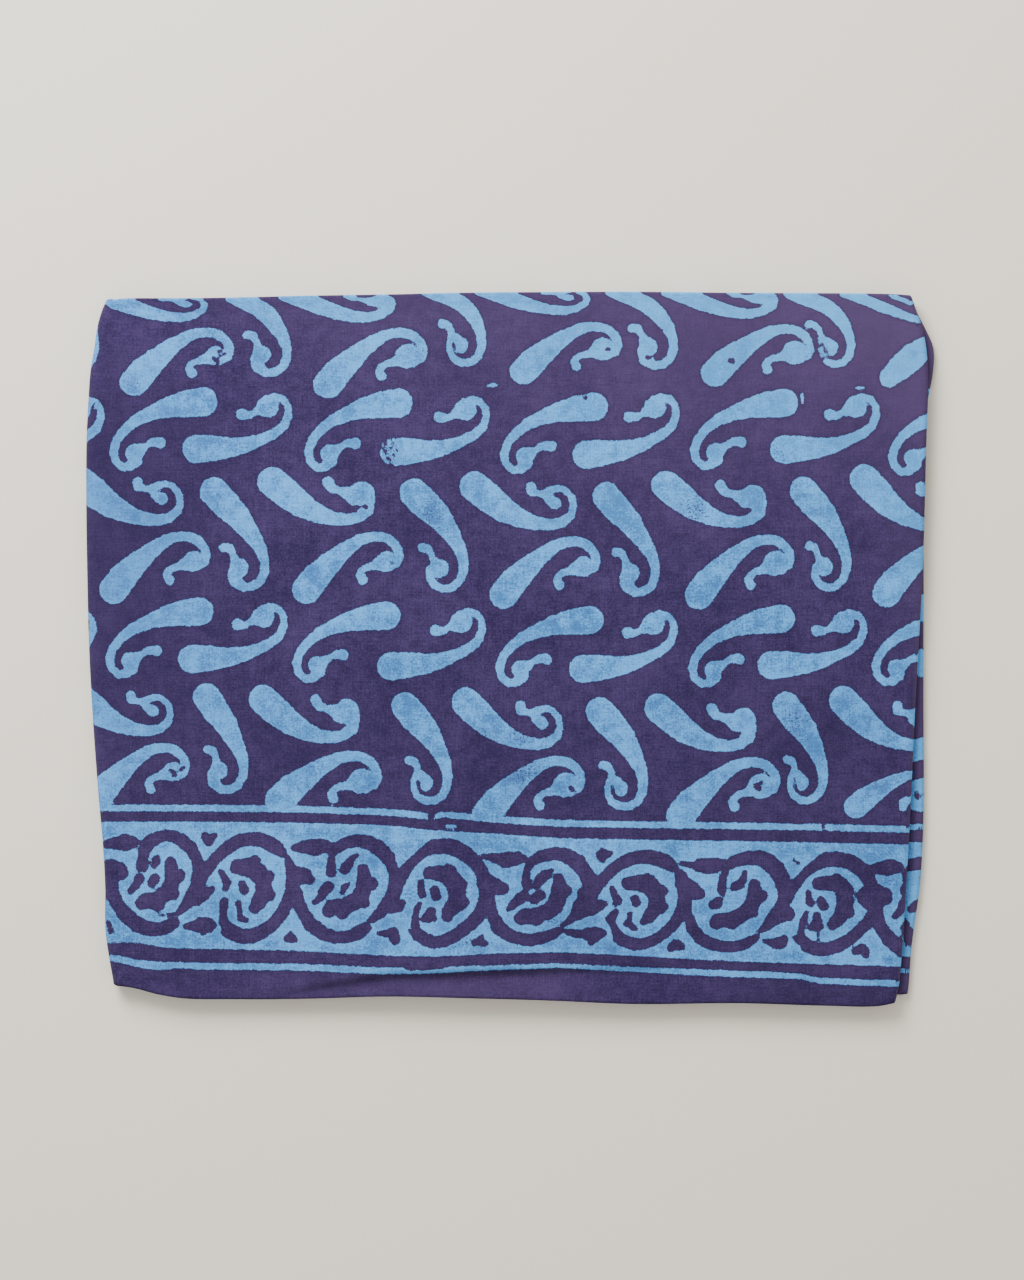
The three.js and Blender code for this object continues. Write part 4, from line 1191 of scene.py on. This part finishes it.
def mudFlawGroup():
    # pinholes, hair cracks and worn places in the dried mud, where the dye got through
    tree, given, made = group("mudFlaws", [("Place", "Vector", None), ("Worn", "Float", 0.0),
                                           ("Cracks", "Float", 0.3)], [("Open", "Float"), ("Stain", "Float")])
    place = given["Place"]
    crack = tree.nodes.new("ShaderNodeTexVoronoi")
    crack.feature = "DISTANCE_TO_EDGE"
    put(tree, crack.inputs["Vector"], pushed(tree, place, 0.25, 6.0))
    put(tree, crack.inputs["Scale"], 0.07)
    lines = calc(tree, "MULTIPLY", ramp(tree, crack.outputs["Distance"], 0.022, 0.006),
                 ramp(tree, noise(tree, moved(tree, place, (11.0, 3.0, 0.0)), 0.035), 0.04, 0.16))
    hole = tree.nodes.new("ShaderNodeTexVoronoi")
    put(tree, hole.inputs["Vector"], place)
    put(tree, hole.inputs["Scale"], 0.33)
    chosen = tree.nodes.new("ShaderNodeSeparateColor")
    tree.links.new(hole.outputs["Color"], chosen.inputs[0])
    holes = calc(tree, "MULTIPLY", ramp(tree, hole.outputs["Distance"], 0.2, 0.08),
                 ramp(tree, chosen.outputs[0], 0.92, 0.97))
    grain = noise(tree, moved(tree, place, (5.0, 61.0, 0.0)), 0.75, 3.0, 0.65)
    eaten = ramp(tree, calc(tree, "ADD", grain, calc(tree, "MULTIPLY", given["Worn"], 0.16)), 0.15, 0.22)
    cloudy = noise(tree, moved(tree, place, (90.0, 20.0, 0.0)), 0.06, 3.0, 0.6)
    stained = total(tree, cloudy, calc(tree, "MULTIPLY", grain, 0.35), calc(tree, "MULTIPLY", given["Worn"], 0.22))
    cracked = calc(tree, "MULTIPLY", lines, given["Cracks"])
    pricked = calc(tree, "MULTIPLY", holes, 0.7)
    tree.links.new(calc(tree, "ADD", calc(tree, "ADD", cracked, pricked), eaten, True), made["Open"])
    tree.links.new(ramp(tree, stained, 0.02, 0.3), made["Stain"])
    return tree


def unevenDyeGroup():
    # one dyed colour, uneven at three sizes: cloudy, blotchy and thread by thread
    tree, given, made = group("unevenDye", [("Place", "Vector", None), ("Deep", "Color", (0, 0, 0, 1)),
                                            ("Pale", "Color", (1, 1, 1, 1)), ("Clouds", "Float", 1.0),
                                            ("Grain", "Float", 1.0), ("Threads", "Float", 0.3)],
                              [("Colour", "Color")])
    place = given["Place"]
    broad = calc(tree, "MULTIPLY", noise(tree, place, 0.018, 3.0, 0.55), 1.1)
    blotch = noise(tree, moved(tree, place, (31.0, 8.0, 0.0)), 0.13, 3.0, 0.6)
    fine = calc(tree, "MULTIPLY", noise(tree, moved(tree, place, (7.0, 50.0, 0.0)), 0.7, 3.0, 0.75), 2.3)
    slow = calc(tree, "MULTIPLY", calc(tree, "ADD", broad, blotch), given["Clouds"])
    share = calc(tree, "ADD", slow, calc(tree, "MULTIPLY", fine, given["Grain"]))
    colour = mixed(tree, calc(tree, "ADD", share, 0.5, True), given["Deep"], given["Pale"])
    warp = noise(tree, moved(tree, place, scale=(0.06, 1.6, 1.0)), 1.0)
    weft = noise(tree, moved(tree, place, (3.0, 9.0, 0.0), (1.6, 0.06, 1.0)), 1.0)
    streaks = calc(tree, "MULTIPLY", calc(tree, "ADD", warp, weft), given["Threads"])
    tree.links.new(brightened(tree, colour, calc(tree, "ADD", streaks, 1.0)), made["Colour"])
    return tree


def grouped(tree, inner, **values):
    node = tree.nodes.new("ShaderNodeGroup")
    node.node_tree = inner
    for label, value in values.items():
        put(tree, node.inputs[label], value)
    return node.outputs


def attribute(tree, name):
    node = tree.nodes.new("ShaderNodeAttribute")
    node.attribute_name = name
    return node.outputs["Fac"]


def printedCotton():
    # the faded tones take painted light as well as faded dye, the soaked tones painted shade as well as soaked dye;
    # the pale light tone also serves the mud's rim and the deep indigo its halo
    look = {"indigoDeep": (0.023, 0.0145, 0.060), "indigoPale": (0.055, 0.035, 0.112),
            "indigoFadedAndLit": (0.080, 0.049, 0.128), "indigoSoakedAndShaded": (0.024, 0.015, 0.056), "gap": (0.012, 0.009, 0.03),
            "lightDeep": (0.046, 0.165, 0.415), "lightPale": (0.106, 0.385, 0.850),
            "lightFadedAndLit": (0.110, 0.420, 0.860), "lightSoakedAndShaded": (0.058, 0.180, 0.440), "stain": (0.050, 0.085, 0.260)}
    weave, mudEdge, mudFlaws, unevenDye = weaveGroup(), mudEdgeGroup(), mudFlawGroup(), unevenDyeGroup()
    material = bpy.data.materials.new("printedCotton")
    material.use_nodes = True
    tree = material.node_tree
    tree.nodes.clear()
    flat = tree.nodes.new("ShaderNodeUVMap")
    flat.uv_map = "flatCloth"
    place = moved(tree, flat.outputs[0], scale=(1000.0, 1000.0, 1000.0))
    edge = grouped(tree, mudEdge, Distance=attribute(tree, "resist"), Place=place, Wander=0.4, Bite=0.29)
    flaws = grouped(tree, mudFlaws, Place=place, Worn=attribute(tree, "worn"), Cracks=0.25)
    dark = grouped(tree, unevenDye, Place=place, Deep=look["indigoDeep"], Pale=look["indigoPale"], Clouds=1.6,
                   Grain=1.4, Threads=0.8)[0]
    light = grouped(tree, unevenDye, Place=place, Deep=look["lightDeep"], Pale=look["lightPale"], Clouds=2.8,
                    Grain=1.8, Threads=0.6)[0]
    # painted light and shade, with some fading of the dye: above 0 the colours go paler, below 0 deeper
    fadeAndPaintedLight = attribute(tree, "fadeAndPaintedLight")
    paleShare = calc(tree, "MAXIMUM", fadeAndPaintedLight, 0.0)
    deepShare = calc(tree, "MAXIMUM", calc(tree, "MULTIPLY", fadeAndPaintedLight, -1.0), 0.0)
    dark = mixed(tree, paleShare, dark, look["indigoFadedAndLit"])
    dark = mixed(tree, deepShare, dark, look["indigoSoakedAndShaded"])
    light = mixed(tree, paleShare, light, look["lightFadedAndLit"])
    light = mixed(tree, deepShare, light, look["lightSoakedAndShaded"])
    light = mixed(tree, calc(tree, "MULTIPLY", flaws["Stain"], 0.34), light, look["stain"])
    light = mixed(tree, calc(tree, "MULTIPLY", edge["Rim"], 0.22), light, look["lightFadedAndLit"])
    dark = mixed(tree, calc(tree, "MULTIPLY", edge["Halo"], 0.35), dark, look["indigoSoakedAndShaded"])
    whole = calc(tree, "SUBTRACT", 1.0, calc(tree, "MULTIPLY", flaws["Open"], 0.85))
    shown = calc(tree, "MULTIPLY", calc(tree, "MULTIPLY", edge["Light"], whole), attribute(tree, "printedSide"))
    colour = mixed(tree, shown, dark, light)
    threads = grouped(tree, weave, Place=place, Threads=2.2, Slubs=1.6)
    colour = mixed(tree, calc(tree, "MULTIPLY", threads["Gap"], 0.22), colour, look["gap"])
    crumple = noise(tree, place, 0.05, 4.0, 0.5)
    height = calc(tree, "ADD", calc(tree, "MULTIPLY", threads["Height"], 0.09), calc(tree, "MULTIPLY", crumple, 1.2))
    bump = tree.nodes.new("ShaderNodeBump")
    put(tree, bump.inputs["Distance"], mm)
    put(tree, bump.inputs["Height"], height)
    shader = tree.nodes.new("ShaderNodeBsdfPrincipled")
    for label, value in (("Base Color", colour), ("Normal", bump.outputs[0]), ("Roughness", 0.95),
                         ("Specular IOR Level", 0.08), ("Sheen Weight", 0.03), ("Sheen Roughness", 0.6)):
        put(tree, shader.inputs[label], value)
    out = tree.nodes.new("ShaderNodeOutputMaterial")
    tree.links.new(shader.outputs[0], out.inputs["Surface"])
    return material


cloth.data.materials.append(printedCotton())
print("material: printed cotton")


def plainFloor():
    material = bpy.data.materials.new("paleFloor")
    material.use_nodes = True
    shader = material.node_tree.nodes["Principled BSDF"]
    shader.inputs["Base Color"].default_value = (0.93, 0.87, 0.74, 1)
    shader.inputs["Roughness"].default_value = 0.9
    ground = bpy.data.meshes.new("floor")
    half, drop = 4, -0.0006  # metres
    corners = [(-half, -half, drop), (half, -half, drop), (half, half, drop), (-half, half, drop)]
    ground.from_pydata(corners, [], [(0, 1, 2, 3)])
    ground.materials.append(material)
    floor = bpy.data.objects.new("floor", ground)
    bpy.context.scene.collection.objects.link(floor)


plainFloor()


def softLamp(name, at, aim, size, power):
    lamp = bpy.data.lights.new(name, "AREA")
    lamp.size, lamp.energy = size, power
    held = bpy.data.objects.new(name, lamp)
    held.location = at
    held.rotation_euler = (Vector(aim) - Vector(at)).to_track_quat("-Z", "Y").to_euler()
    bpy.context.scene.collection.objects.link(held)


softLamp("windowLight", (-0.75, 1.35, 1.25), (0, 0.02, 0), 1.1, 62)
world = bpy.data.worlds.new("room")
world.use_nodes = True
sky = world.node_tree.nodes["Background"]
sky.inputs["Color"].default_value = (1, 0.985, 0.96, 1)
sky.inputs["Strength"].default_value = 0.8
bpy.context.scene.world = world

cameraData = bpy.data.cameras.new("overhead")
cameraData.lens, cameraData.sensor_width = 85, 36
camera = bpy.data.objects.new("overhead", cameraData)
camera.location = (0.0009, 0.0058, 1.946)
bpy.context.scene.collection.objects.link(camera)
bpy.context.scene.camera = camera
print("floor, light and camera")

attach(cloth, "root")
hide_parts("cloth")
